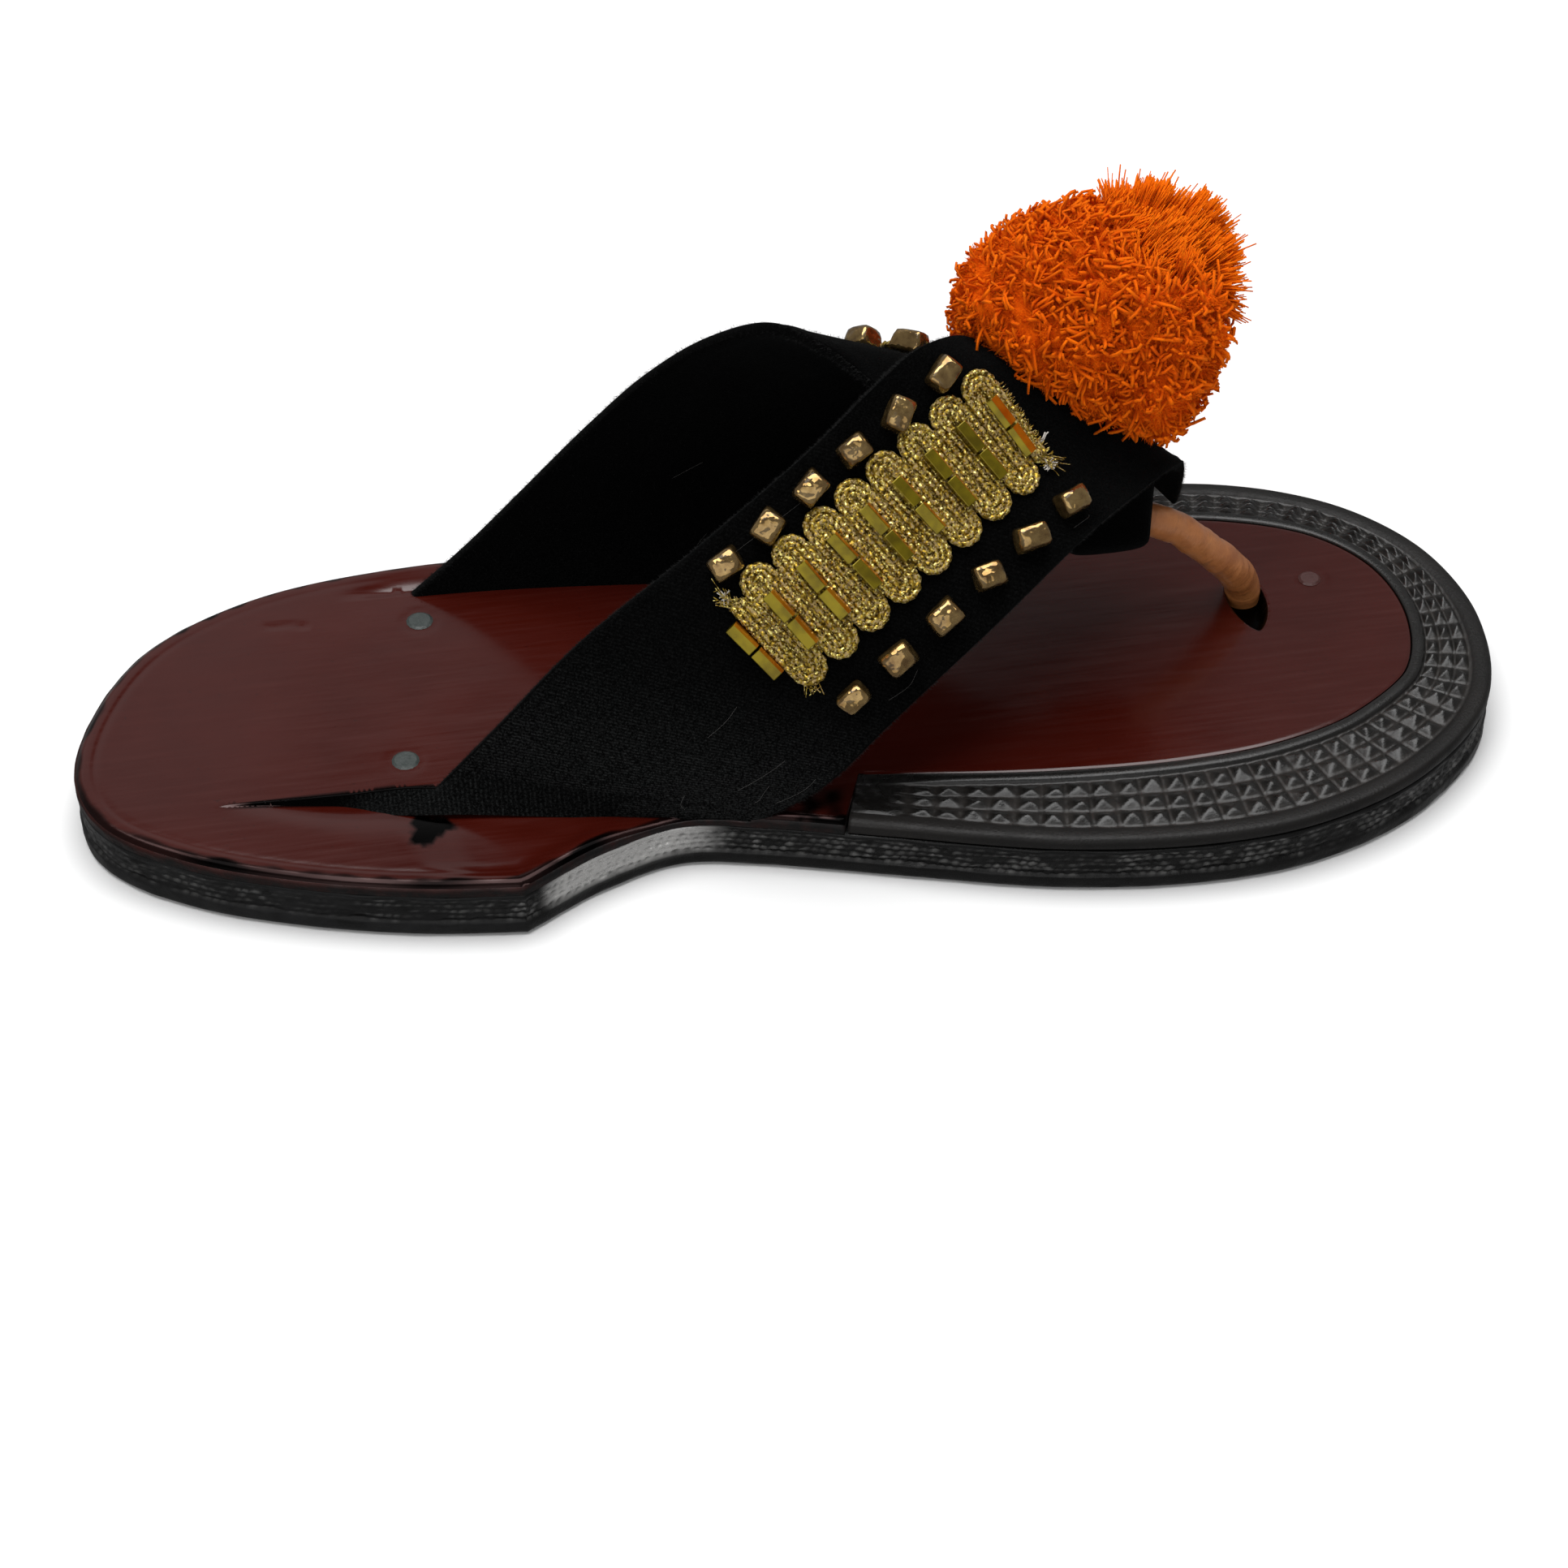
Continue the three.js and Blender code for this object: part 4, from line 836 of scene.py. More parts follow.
def build_insole():
    ring = insole_ring(EDGE_INSET)
    count = len(ring)
    border_count = len(inner_edge)
    from_rear = np.ones(count)
    from_rear[open_to:open_to + border_count] = 0
    open_line = np.vstack([ring[open_to + border_count:], ring[:open_to]])
    open_edge = np.vstack([open_line[::4], open_line[-1:]])
    xy, faces = insole_sheet(ring, open_edge)
    x, y = xy.T
    to_edge = line_distance(x, y, open_edge)
    off = slit_y(x) - y
    lens = np.abs((x - TOE_SLIT_X) / TOE_SLIT_WIDE) ** (2 / TOE_SLIT_TAPER)
    lens = lens + ((y - TOE_SLIT_Y) / TOE_SLIT_HALF) ** 2
    top = np.column_stack([xy, insole_height(x, y, to_edge, off, lens)])
    stain_and_shade = insole_stain_and_shade(x, y, to_edge, off, lens)
    ring_x, ring_y = ring.T
    notch = np.interp(ring_x, [-62, -58, -20, 4], [0, 1, 1, 1]) * (ring_y < 0)
    paint = waves(ring_x, ring_y, 57, 12) * 0.25
    stain_and_shade[:count] = np.maximum(stain_and_shade[:count], np.clip(notch * smooth(paint, -0.3, 0.25), 0, 1) * from_rear)
    piece("insole_lacquered", top, faces, LACQUER, "oxblood", ["insole"], data={"stain_and_shade": stain_and_shade})
    # Painted side wall down to the outsole
    wall = insole_ring(WALL_INSET)
    into = np.vstack([inward[:open_to], border_into, inward[open_from:]])
    ragged = into * (0.12 * waves(*wall.T, 58, 7) * from_rear)[:, None]
    walls = [np.column_stack([wall + ragged * w, np.full(count, h)])
             for h, w in ((12.2, 0.5), (11.6, 1.0), (11.1, 1.0), (INSOLE_BOTTOM, 0.0))]
    dark = [np.clip(base + paint + notch, 0, 1) for base in (0.35, 0.6, 0.85)]
    quads = grid_quads(len(walls) + 1, count, wrap=True)[:, ::-1]
    piece("insole_edge", np.vstack([top[:count], *walls]), quads, EDGE_PAINT, "oxblood",
          data={"paint": np.concatenate([*dark, np.ones(count), np.ones(count)])})


# Strap legs
LEG_STEPS = 801


class Leg:
    """A strap leg: a surface between its two edge curves, crowned across."""

    def __init__(self, rear, front, crown, outward):
        self.rear, self.front, self.crown, self.outward = rear, front, np.array(crown, float), outward
        self.run_s = np.linspace(0, 1, LEG_STEPS)
        self.run = run_along(self.point(self.run_s, np.full(LEG_STEPS, 0.5)))

    def ruled(self, s, v):
        a, b = spline(self.rear, s), spline(self.front, s)
        return a + (b - a) * np.asarray(v)[:, None]

    def cross(self, place, s, v, h=0.004):
        """Slopes along and across a surface of the leg, and the way out of it."""
        along = (place(s + h, v) - place(s - h, v)) / (2 * h)
        across = (place(s, v + h) - place(s, v - h)) / (2 * h)
        return along, across, self.outward * unit(np.cross(along, across))

    def point(self, s, v):
        s, v = np.asarray(s, float), np.asarray(v, float)
        rows = len(self.crown) - 1
        crown = np.interp(np.clip(s, 0, 1) * rows, np.arange(rows + 1), self.crown)
        normal = self.cross(self.ruled, s, v)[2]
        return self.ruled(s, v) + normal * (crown * 4 * v * (1 - v))[:, None]

    def lifted(self, s, v, height):
        normal = self.cross(self.point, s, v)[2]
        return self.point(s, v) + normal * np.broadcast_to(height, np.shape(s))[:, None]

    def place(self, distance, across):
        """Places measured up the middle line and square across it: (s, v, the way along there)."""
        distance = np.atleast_1d(np.asarray(distance, float))
        across = np.broadcast_to(np.asarray(across, float), distance.shape)
        s = np.interp(distance, self.run, self.run_s)
        v = np.full(s.shape, 0.5)
        origin = self.point(s, v)
        _, first, normal = self.cross(self.point, s, v)
        ahead = unit(self.point(s + 0.08, v) - self.point(s - 0.08, v))
        square = unit(np.cross(normal, ahead))
        square *= np.sign(np.sum(square * first, axis=1, keepdims=True))
        for _ in range(7):
            along, sideways, _ = self.cross(self.point, s, v)
            off = self.point(s, v) - origin
            miss_a = -np.sum(off * ahead, axis=1)
            miss_b = across - np.sum(off * square, axis=1)
            a, b = np.sum(along * ahead, axis=1), np.sum(sideways * ahead, axis=1)
            c, d = np.sum(along * square, axis=1), np.sum(sideways * square, axis=1)
            area = a * d - b * c
            s = s + (miss_a * d - miss_b * b) / area
            v = v + (miss_b * a - miss_a * c) / area
        return s, v, ahead

    def seat(self, distance, across, height):
        """A place over the leg and its three directions: along, across and out."""
        s, v, ahead = self.place(distance, across)
        normal = self.cross(self.point, s, v)[2][0]
        along = unit(ahead[0] - normal * (ahead[0] @ normal))
        return self.lifted(s, v, height)[0], along, np.cross(normal, along), normal


LEGS = {"outer": Leg(OUTER_REAR, OUTER_FRONT, OUTER_CROWN, -1),
        "inner": Leg(INNER_REAR, INNER_FRONT, INNER_CROWN, 1)}
STRAP_STEPS, STRAP_FLAT, STRAP_ROUND, STRAP_SELVEDGE = 190, 46, 6, 0.014
CLOTH_LENGTH, CLOTH_WIDTH = 170, 62
TONGUE_NEAR = np.array([(-117.5, -13.75), (-105, -14.75), (-94, -15.7), (-90, -17.4), (-86, -20.1),
                        (-77, -22.2), (-68, -23.3), (-59, -24.6), (-50, -26.1), (-40, -27.9), (-30, -30.4)])
TONGUE_EDGE_END = -74.6
PILE_EDGE, PILE_FACE, PILE_LINING = 4200, 8000, 3000
LINT_OUTER = [(0.09, 0.86), (0.11, 0.93), (0.13, 0.8), (0.2, 0.55), (0.3, 0.9), (0.05, 0.7), (0.42, 0.12),
              (0.5, 0.93), (0.78, 0.8)]
LINT_INNER = [(0.08, 0.85), (0.12, 0.7), (0.05, 0.95), (0.3, 0.4)]
# Leg, places of the hairs, their height over the velvet and the rise of their middle
LINT_HAIRS = [("outer", LINT_OUTER, 0.5, 0.5), ("inner", LINT_INNER, -STRAP_WALL - 0.4, -0.5)]


def build_strap():
    half, flat, selvedge = STRAP_WALL / 2, STRAP_FLAT, STRAP_SELVEDGE
    across = np.linspace(selvedge, 1 - selvedge, flat)
    turn = np.linspace(-math.pi / 2, math.pi / 2, STRAP_ROUND + 2)[1:-1]
    section = np.concatenate([across, 1 - selvedge + selvedge * np.cos(turn), across[::-1],
                              selvedge - selvedge * np.cos(turn)])
    lift = np.concatenate([np.zeros(flat), -half - half * np.sin(turn), np.full(flat, -STRAP_WALL),
                           -half + half * np.sin(turn)])
    s, v = (g.ravel() for g in np.meshgrid(np.linspace(0, 1, STRAP_STEPS), section, indexing="ij"))
    height = np.tile(lift, STRAP_STEPS)
    face = np.tile(np.arange(len(section)) < flat, STRAP_STEPS).astype(float)
    dents = face * 0.28 * waves(s * CLOTH_LENGTH, v * CLOTH_WIDTH, 61, 46) * smooth(s, 0.03, 0.15)
    swell = 0.35 * bell(np.minimum(v, 1 - v) - 0.03, 0.02) * face
    cloth = np.column_stack([s * CLOTH_LENGTH, v * CLOTH_WIDTH, np.zeros(len(s))])
    quads = grid_quads(STRAP_STEPS, len(section), wrap=True)
    meshes, worn_nap_and_sheen = [], []
    for name, leg in LEGS.items():
        points = leg.lifted(s, v, height + dents + swell - 0.3 * face)
        meshes.append((points, quads if name == "inner" else quads[:, ::-1]))
        # Worn pile and painted sheen: the outer leg's face is lit, most towards its foot; the inner leg gets
        # little
        lit = face if name == "outer" else np.full(len(s), 0.15)
        worn_nap_and_sheen.append(np.clip(lit * (1.0 - 0.88 * smooth(s, 0.05, 0.3)), 0, 1))
    piece("strap_velvet", *joined(meshes), VELVET, "velvet", ["strap"],
          data={"cloth": np.vstack([cloth, cloth]), "worn_nap_and_sheen": np.concatenate(worn_nap_and_sheen)})


def build_tongue():
    """The outer leg's foot, which spreads into the open slit and runs out to a point under its inner edge;
    its black rear point also stands in for the shade in the knife cut.
    """
    columns, rows, foot_steps, edge_steps = 190, 14, 60, 80
    near = even(spline(TONGUE_NEAR, np.linspace(0, 1, 600)), columns)[0]
    foot = LEGS["outer"].lifted(np.full(foot_steps, 0.05), np.linspace(0.02, 0.82, foot_steps), -0.25)
    edge_x = np.linspace(TONGUE_NEAR[0, 0], TONGUE_EDGE_END, edge_steps)
    edge_line = np.column_stack([edge_x, slit_y(edge_x) - 0.05, np.full(edge_steps, INSOLE_TOP - 0.1)])
    far = even(np.vstack([edge_line, foot]), columns)[0]
    near_z = INSOLE_TOP - flap_drop(near[:, 0], slit_y(near[:, 0]) - near[:, 1]) - 0.15
    near = np.column_stack([near, near_z])
    w = np.linspace(0, 1, rows)[None, :]
    drop = smooth(far[:, 2] - INSOLE_TOP, 0, 3)[:, None] * 1.6 + 0.5
    points = far[:, None] * (1 - w[..., None]) + near[:, None] * w[..., None]
    points[:, :, 2] -= drop * (4 * w * (1 - w)) * 0.5
    points = points.reshape(-1, 3)
    cloth = np.column_stack([points[:, 0] * 0.8, points[:, 1], np.zeros(len(points))])
    # The tongue's rear stays black as painted shade in the cut; its front shows lighter ribs
    piece("strap_tongue", points, grid_quads(columns, rows)[:, ::-1], VELVET, "velvet",
          data={"cloth": cloth, "worn_nap_and_sheen": 0.55 * smooth(points[:, 0], -96, -86)})


def build_pile():
    """Short fibres along the strap's edges and thin over its faces, where pile shows against the light."""
    r = np.random.default_rng(71)
    fibres = []
    for leg in LEGS.values():
        for edge in (0.0, 1.0):
            s = r.uniform(0.01, 0.995, PILE_EDGE)
            v = np.clip(edge + r.normal(0, 0.004, PILE_EDGE), 0.004, 0.996)
            base = leg.lifted(s, v, -r.uniform(0.1, STRAP_WALL - 0.1, PILE_EDGE))
            along, across, normal = leg.cross(leg.point, s, v)
            along, out = unit(along), unit(across) * (1 if edge else -1)
            aim = out + normal * r.normal(0.1, 0.55, PILE_EDGE)[:, None]
            aim = unit(aim + along * r.normal(0, 0.5, PILE_EDGE)[:, None])
            fibres.append((base, along * 0.045, base + aim * r.uniform(0.35, 0.95, PILE_EDGE)[:, None]))
        for height, way, count in ((-0.25, 1, PILE_FACE), (-STRAP_WALL, -1, PILE_LINING)):
            s, v = r.uniform(0.02, 0.99, count), r.uniform(0.01, 0.99, count)
            base = leg.lifted(s, v, height)
            along, _, normal = leg.cross(leg.point, s, v)
            along = unit(along)
            aim = unit(normal * way + along * r.normal(0.3, 0.5, count)[:, None])
            fibres.append((base, along * 0.04, base + aim * r.uniform(0.4, 0.8, count)[:, None]))
    piece("strap_pile", *slivers(*(np.vstack(x) for x in zip(*fibres))), PILE, "velvet", soft=False)


def build_lint():
    """A few stray hairs caught in the velvet."""
    r = np.random.default_rng(73)
    t = np.linspace(0, 1, 14)
    paths = []
    for name, spots, height, arch in LINT_HAIRS:
        for s0, v0 in spots:
            reach, swing, phase = r.uniform(0.03, 0.07), r.uniform(0.01, 0.04), r.uniform(0, 6.3)
            s = np.clip(s0 + reach * (t - 0.5) + 0.005 * np.sin(4 * t + phase), 0.01, 0.99)
            v = np.clip(v0 + swing * np.sin(2 * t + phase), 0.02, 0.99)
            paths.append(LEGS[name].lifted(s, v, height + arch * np.sin(math.pi * t)))
    piece("lint_hairs", *tubes(np.array(paths), 0.022, 4), LINT, "velvet")


# Toe post and its loop
POST_STEPS, POST_SIDES = 150, 36
LOOP_COLUMNS, LOOP_BEND, LOOP_RISE, LOOP_TOP = 26, 26, 12, 66
strap_tree = BVHTree.FromObject(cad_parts["strap"], bpy.context.evaluated_depsgraph_get())


def build_post():
    path, run = even(spline(POST_ROUTE, np.linspace(-0.02, 1.0, 1200)), POST_STEPS)
    _, side, up = frames_along(path)
    turn = turns(POST_SIDES)
    uu, tt = np.meshgrid(run, turn, indexing="ij")
    radius = POST_RADIUS * (0.965 - 0.05 * smooth(uu, 12, 30) * (1 - smooth(uu, 30, 48)))
    radius = radius + 0.1 * waves(uu * 1.6, np.cos(tt) * 7, 81, 9)
    radius = radius + 0.045 * waves(uu * 4, np.cos(tt) * 5, 83, 7)
    radius = radius + 0.3 * np.exp(-uu / 3.0)
    ring = side[:, None] * np.cos(turn)[None, :, None] + up[:, None] * np.sin(turn)[None, :, None]
    points = path[:, None] + ring * radius[:, :, None]
    cord = np.stack([uu, tt * POST_RADIUS, np.zeros_like(uu)], axis=-1)
    caps = [ring_face(0, POST_SIDES)[::-1], ring_face(POST_STEPS - 1, POST_SIDES)]
    quads = grid_quads(POST_STEPS, POST_SIDES, wrap=True)
    piece("post_cord", points.reshape(-1, 3), quads, TAN, "tan_leather", ["toe_post"],
          data={"cord": cord.reshape(-1, 3)}, extra=caps)


def under_strap(x, y, z):
    """Height at which a line going up from a point meets the strap."""
    hit = strap_tree.ray_cast(Vector((x * MM, y * MM, z * MM)), Vector((0, 0, 1)))[0]
    return min(hit.z / MM, LOOP_TOP) if hit else LOOP_TOP


def build_loop():
    centre_z = LOOP_LOW + LOOP_HALF
    half = LOOP_HALF - LOOP_WALL / 2
    bend = np.linspace(math.pi, 2 * math.pi, LOOP_BEND)
    arc = np.column_stack([half * np.cos(bend), centre_z + half * np.sin(bend)])
    rise = np.linspace(1, 0, LOOP_RISE, endpoint=False)
    outer_side, inner_side = [], []
    for k, x in enumerate(np.linspace(LOOP_BACK, LOOP_FRONT, LOOP_COLUMNS)):
        left, right = (under_strap(x, LOOP_Y + way * half, centre_z) + 0.6 - centre_z for way in (-1, 1))
        down = np.column_stack([np.full(LOOP_RISE, -half), centre_z + left * rise])
        up = np.column_stack([np.full(LOOP_RISE, half), centre_z + right * rise[::-1]])
        line = np.vstack([down, arc, up])
        from_middle = abs(2 * k / (LOOP_COLUMNS - 1) - 1)
        thick = LOOP_WALL / 2 * math.sqrt(max(0.06, 1 - from_middle ** 6))
        ahead = np.gradient(line, axis=0)
        out = unit(np.stack([ahead[:, 1], -ahead[:, 0]], axis=1))
        sag = 0.5 * bell(line[:, 1] - LOOP_LOW, 4) * math.sin(math.pi * k / (LOOP_COLUMNS - 1))
        for side, sign in ((outer_side, 1), (inner_side, -1)):
            moved = line + out * (sign * thick)
            side.append(np.column_stack([np.full(len(line), x), LOOP_Y + moved[:, 0], moved[:, 1] - sag]))
    ring = np.array(outer_side + inner_side[::-1])
    points = ring.transpose(1, 0, 2).reshape(-1, 3)
    cloth = np.column_stack([points[:, 0], points[:, 2], np.zeros(len(points))])
    quads = grid_quads(ring.shape[1], len(ring), wrap=True)
    piece("loop_velvet", points, quads, VELVET, "velvet", ["post_loop"], data={"cloth": cloth})


# Pompom of cut yarn: a lumpy core, fine fuzz, short curled ends, and a fan of straight ends at its top right
POMPOM_DEPTH = 25.5
# How far the yarn reaches from the middle, by angle round the photo's view (0 is right, 90 is up)
POMPOM_REACH = [(-180, 31.5), (-168, 30), (-140, 26), (-108, 23.5), (-84, 24.5), (-72, 27), (-60, 29),
                (-48, 27), (-36, 26), (0, 25.5), (12, 26.5), (24, 30), (42, 30.5), (58, 30.5), (72, 27),
                (84, 25.5), (100, 23), (120, 25), (144, 27.4), (156, 29.4), (180, 31.5)]
FAN_ANGLE = 50
CORE_RINGS, CORE_COLUMNS = 90, 140
FUZZ_COUNT, FUZZ_HALF = 110000, 0.085
CURL_COUNT, CURL_STEPS, CURL_SIDES = 7600, 5, 3
TUFT_COUNT, YARN_PER_TUFT, YARN_STEPS, YARN_SIDES, YARN_START = 380, 52, 6, 3, 15.0


def clear_of_strap(aim):
    """Room along each direction from the pompom's middle before it meets the strap."""
    hits = [strap_tree.ray_cast(Vector(POMPOM * MM), Vector(d)) for d in aim]
    return np.array([h[3] / MM if h[0] is not None else 1e3 for h in hits])


def sphere(count, jitter, r):
    """Directions spread evenly over a sphere, each a little off its place."""
    k = np.arange(count)
    up = 1 - 2 * (k + 0.5) / count
    turn = k * math.pi * (3 - math.sqrt(5))
    axis = np.column_stack([np.sqrt(1 - up ** 2) * np.cos(turn), np.sqrt(1 - up ** 2) * np.sin(turn), up])
    return unit(axis + r.normal(0, jitter, axis.shape))


LUMP_AXIS = sphere(190, 0.09, np.random.default_rng(90))
LUMP_RISE = np.random.default_rng(92).normal(0, 0.9, len(LUMP_AXIS))
LUMP_SPREAD = 0.17


def yarn_reach(d):
    """How far the yarn reaches each way, how loose its fan is there, and how far the fan lies back."""
    rise, side, back = d @ PHOTO_UP, d @ PHOTO_RIGHT, d @ PHOTO_BACK
    angle, flat = np.degrees(np.arctan2(rise, side)), np.hypot(rise, side)
    edge_reach = np.interp(angle, *np.array(POMPOM_REACH, float).T)
    reach = POMPOM_DEPTH + (edge_reach - POMPOM_DEPTH) * smooth(flat, 0.45, 0.95)
    fan = smooth(np.cos(np.radians(angle - FAN_ANGLE)), 0.66, 0.9) * smooth(flat, 0.25, 0.6)
    return reach, fan, fan * smooth(back, 0.1, 0.5)


def woolly(d):
    """Radius of the woolly surface each way, and its height from crevice (0) to top of a lump (1)."""
    near, which = np.empty(len(d)), np.empty(len(d), int)
    for part in np.array_split(np.arange(len(d)), max(1, len(d) // 20000)):
        dots = d[part] @ LUMP_AXIS.T
        which[part] = dots.argmax(axis=1)
        near[part] = np.arccos(np.clip(dots.max(axis=1), -1, 1))
    high = 1 - np.clip(near / LUMP_SPREAD, 0, 1) ** 2
    reach, fan, hollow = yarn_reach(d)
    flock = waves(d[:, 0] * 25 + d[:, 2] * 9, d[:, 1] * 25 + d[:, 2] * 16, 93, 3.2)
    lumps = (high - 0.7) * (1 - 0.6 * fan) + 0.6 * LUMP_RISE[which] * high
    radius = reach - 1.7 - 6.0 * hollow - 2.6 * fan + lumps
    return radius + 0.5 * flock, np.clip(0.2 + 0.5 * high + 0.2 * flock, 0, 1)


def swirl(d, seed, scale):
    """A smooth field of sideways directions over the pompom."""
    return np.stack([waves(d[:, 0] * 25 + 40 * k, d[:, 1] * 25 + d[:, 2] * 19, seed + k, scale)
                     for k in range(3)], axis=1)


def pompom_core():
    """The lumpy body; gives back the angles of its grid and the room it has along each direction."""
    down = np.linspace(0.01, math.pi - 0.01, CORE_RINGS)
    around = turns(CORE_COLUMNS)
    aa, bb = np.meshgrid(down, around, indexing="ij")
    d = np.stack([np.sin(aa) * np.cos(bb), np.sin(aa) * np.sin(bb), np.cos(aa)], axis=-1).reshape(-1, 3)
    room = clear_of_strap(d)
    radius, high = woolly(d)
    points = POMPOM + d * np.minimum(radius - 0.5, room - 0.3)[:, None]
    # Painted shade: the core is darker in the crevices between lumps and lighter on their tops
    piece("pompom_core", points, grid_quads(CORE_RINGS, CORE_COLUMNS, wrap=True), YARN, "yarn", ["pompom"],
          data={"strand": 0.25 + 0.3 * high, "tip": 0.75 * high},
          extra=[ring_face(0, CORE_COLUMNS), ring_face(CORE_RINGS - 1, CORE_COLUMNS)[::-1]])
    return down, around, room


def pompom_fuzz(r, down, around, room):
    """Fine fuzz all over the pompom."""
    d = unit(r.normal(0, 1, (FUZZ_COUNT, 3)))
    ring = np.round((np.arccos(d[:, 2]) - down[0]) / (down[1] - down[0])).astype(int).clip(0, CORE_RINGS - 1)
    column = np.round(np.arctan2(d[:, 1], d[:, 0]) / (around[1] - around[0])).astype(int) % CORE_COLUMNS
    room = room[ring * CORE_COLUMNS + column]
    radius, high = woolly(d)
    base = POMPOM + d * np.minimum(radius + r.uniform(-0.8, 0.7, FUZZ_COUNT), room - 0.5)[:, None]
    stand = unit(d * 0.75 + swirl(d, 96, 7) * 0.7 + r.normal(0, 0.45, d.shape))
    thin = unit(np.cross(stand, r.normal(0, 1, d.shape)))
    length = np.minimum(r.uniform(0.5, 1.5, FUZZ_COUNT), np.maximum(room - 1.1 - radius, 0.4))
    tone = np.clip(0.5 + r.normal(0, 0.22, FUZZ_COUNT), 0, 1)
    tips = base + stand * length[:, None]
    # Painted shade: the fuzz is darker in the crevices
    piece("pompom_fuzz", *slivers(base, thin * FUZZ_HALF, tips), YARN, "yarn", soft=False,
          data={"strand": np.repeat(tone, 3), "tip": 0.15 + 0.85 * np.repeat(high, 3)})


def pompom_curls(r):
    """Short curled yarn ends, lying over one another, everywhere but in the fan."""
    d = sphere(CURL_COUNT, 0.02, r)
    d = d[yarn_reach(d)[1] < 0.55]
    many = len(d)
    radius, high = woolly(d)
    room = np.minimum(clear_of_strap(d) - 0.4, radius + 2.0)[:, None, None]
    stand = unit(0.6 * d + 0.9 * swirl(d, 86, 4.2) + r.normal(0, 0.26, d.shape))
    bend = r.normal(0, 0.8, d.shape) - 0.7 * d
    t = np.linspace(0, 1, CURL_STEPS)[None, :, None]
    length = r.uniform(3.8, 7.0, (many, 1, 1))
    root = (d * (radius - 1.7)[:, None])[:, None]
    offset = root + stand[:, None] * length * t + bend[:, None] * (2.3 * t ** 2)
    far = np.linalg.norm(offset, axis=2, keepdims=True)
    offset *= np.minimum(far, room) / far
    t = t[:, :, 0]
    width = r.uniform(0.34, 0.5, (many, 1)) * (1 - 0.2 * t ** 3)
    # Painted shade: the curls are darker at their roots and in the crevices
    tone = np.clip(0.5 + 0.3 * (high - 0.5) + r.normal(0, 0.18, many), 0, 1)
    tip = t ** 1.2 * (0.45 + 0.55 * high[:, None])
    data = {"strand": np.repeat(tone, CURL_STEPS * CURL_SIDES), "tip": np.repeat(tip.ravel(), CURL_SIDES)}
    piece("pompom_curls", *tubes(POMPOM + offset, width, CURL_SIDES), YARN, "yarn", data=data,
          extra=tube_ends(many, CURL_STEPS, CURL_SIDES))


def across_of(aim):
    """Two directions square to each of many directions."""
    helper = np.where(np.abs(aim[:, 2:]) < 0.9, np.array((0, 0, 1.0)), np.array((1.0, 0, 0)))
    one = unit(np.cross(aim, helper))
    return one, np.cross(aim, one)


def pompom_fan(r):
    """Long straight yarn, combed back in tufts where it fans out."""
    axis = sphere(TUFT_COUNT, 0.05, r)
    tuft_reach, fan, hollow = yarn_reach(axis)
    tuft_reach = tuft_reach + r.normal(0, 0.8, TUFT_COUNT) - 6.5 * hollow
    one, two = across_of(axis)
    lean = one * r.normal(0, 3.6, (TUFT_COUNT, 1)) + two * r.normal(0, 3.6, (TUFT_COUNT, 1))
    comb = 0.75 * PHOTO_UP + 0.65 * PHOTO_RIGHT
    comb = comb - axis * (axis @ comb)[:, None]
    lean = lean * (1 - 0.8 * fan)[:, None] + comb * (7.0 * hollow + fan)[:, None]
    of = np.repeat(np.arange(TUFT_COUNT), YARN_PER_TUFT)
    of = of[fan[of] > 0.3]
    count = len(of)
    spread, around = np.sqrt(r.uniform(0, 1, count)), r.uniform(0, FULL_TURN, count)
    t = np.linspace(0, 1, YARN_STEPS)[None, :]
    free = 1 - 0.85 * fan[of]
    reach = tuft_reach[of] - 0.4 * free * spread ** 2 - 0.8 * free + r.normal(0, 0.6, count)
    loose = (fan[of] > 0.6) & (r.uniform(0, 1, count) < 0.05)
    reach = reach + loose * r.uniform(0.8, 3.4, count)
    swell = 0.8 + (2.35 + 0.5 * fan[of][:, None]) * t ** 0.9
    phase, winds = r.uniform(0, FULL_TURN, count)[:, None], r.uniform(2, 6, count)[:, None]
    curl = 2.1 * free[:, None] * t ** 2
    side_one = (spread * np.cos(around))[:, None] * swell + curl * np.cos(phase + winds * t)
    side_two = (spread * np.sin(around))[:, None] * swell + curl * np.sin(phase + winds * t)
    along = YARN_START + (reach[:, None] - YARN_START) * t
    parts = ((axis, along), (one, side_one), (two, side_two), (lean, t ** 1.8))
    offset = sum(way[of][:, None] * size[:, :, None] for way, size in parts)
    # Yarn that would go into the strap is cut short at its surface
    far = np.linalg.norm(offset, axis=2)[:, -1]
    room = clear_of_strap(offset[:, -1] / far[:, None])
    short = np.clip((room - 0.4) / far, 0, 1)
    keep = short * far > YARN_START + 1.0
    offset, of, short = offset[keep], of[keep], short[keep][:, None, None]
    count = len(of)
    paths = POMPOM + offset * (1 - (1 - short) * t[:, :, None])
    width = (0.19 + 0.05 * r.uniform(-1, 1, (count, 1))) * (1 - 0.2 * t ** 3)
    tone = np.clip(r.normal(0.55, 0.18, count) + r.normal(0, 0.15, TUFT_COUNT)[of], 0, 1)
    # Painted shade: the fan's yarn is darker towards its roots
    tip = np.tile(t[0] ** 1.5, count)
    piece("pompom_yarn", *tubes(paths, width, YARN_SIDES), YARN, "yarn",
          data={"strand": np.repeat(tone, YARN_STEPS * YARN_SIDES), "tip": np.repeat(tip, YARN_SIDES)},
          extra=tube_ends(count, YARN_STEPS, YARN_SIDES))


def build_pompom():
    r = np.random.default_rng(91)
    pompom_fuzz(r, *pompom_core())
    pompom_curls(r)
    pompom_fan(r)


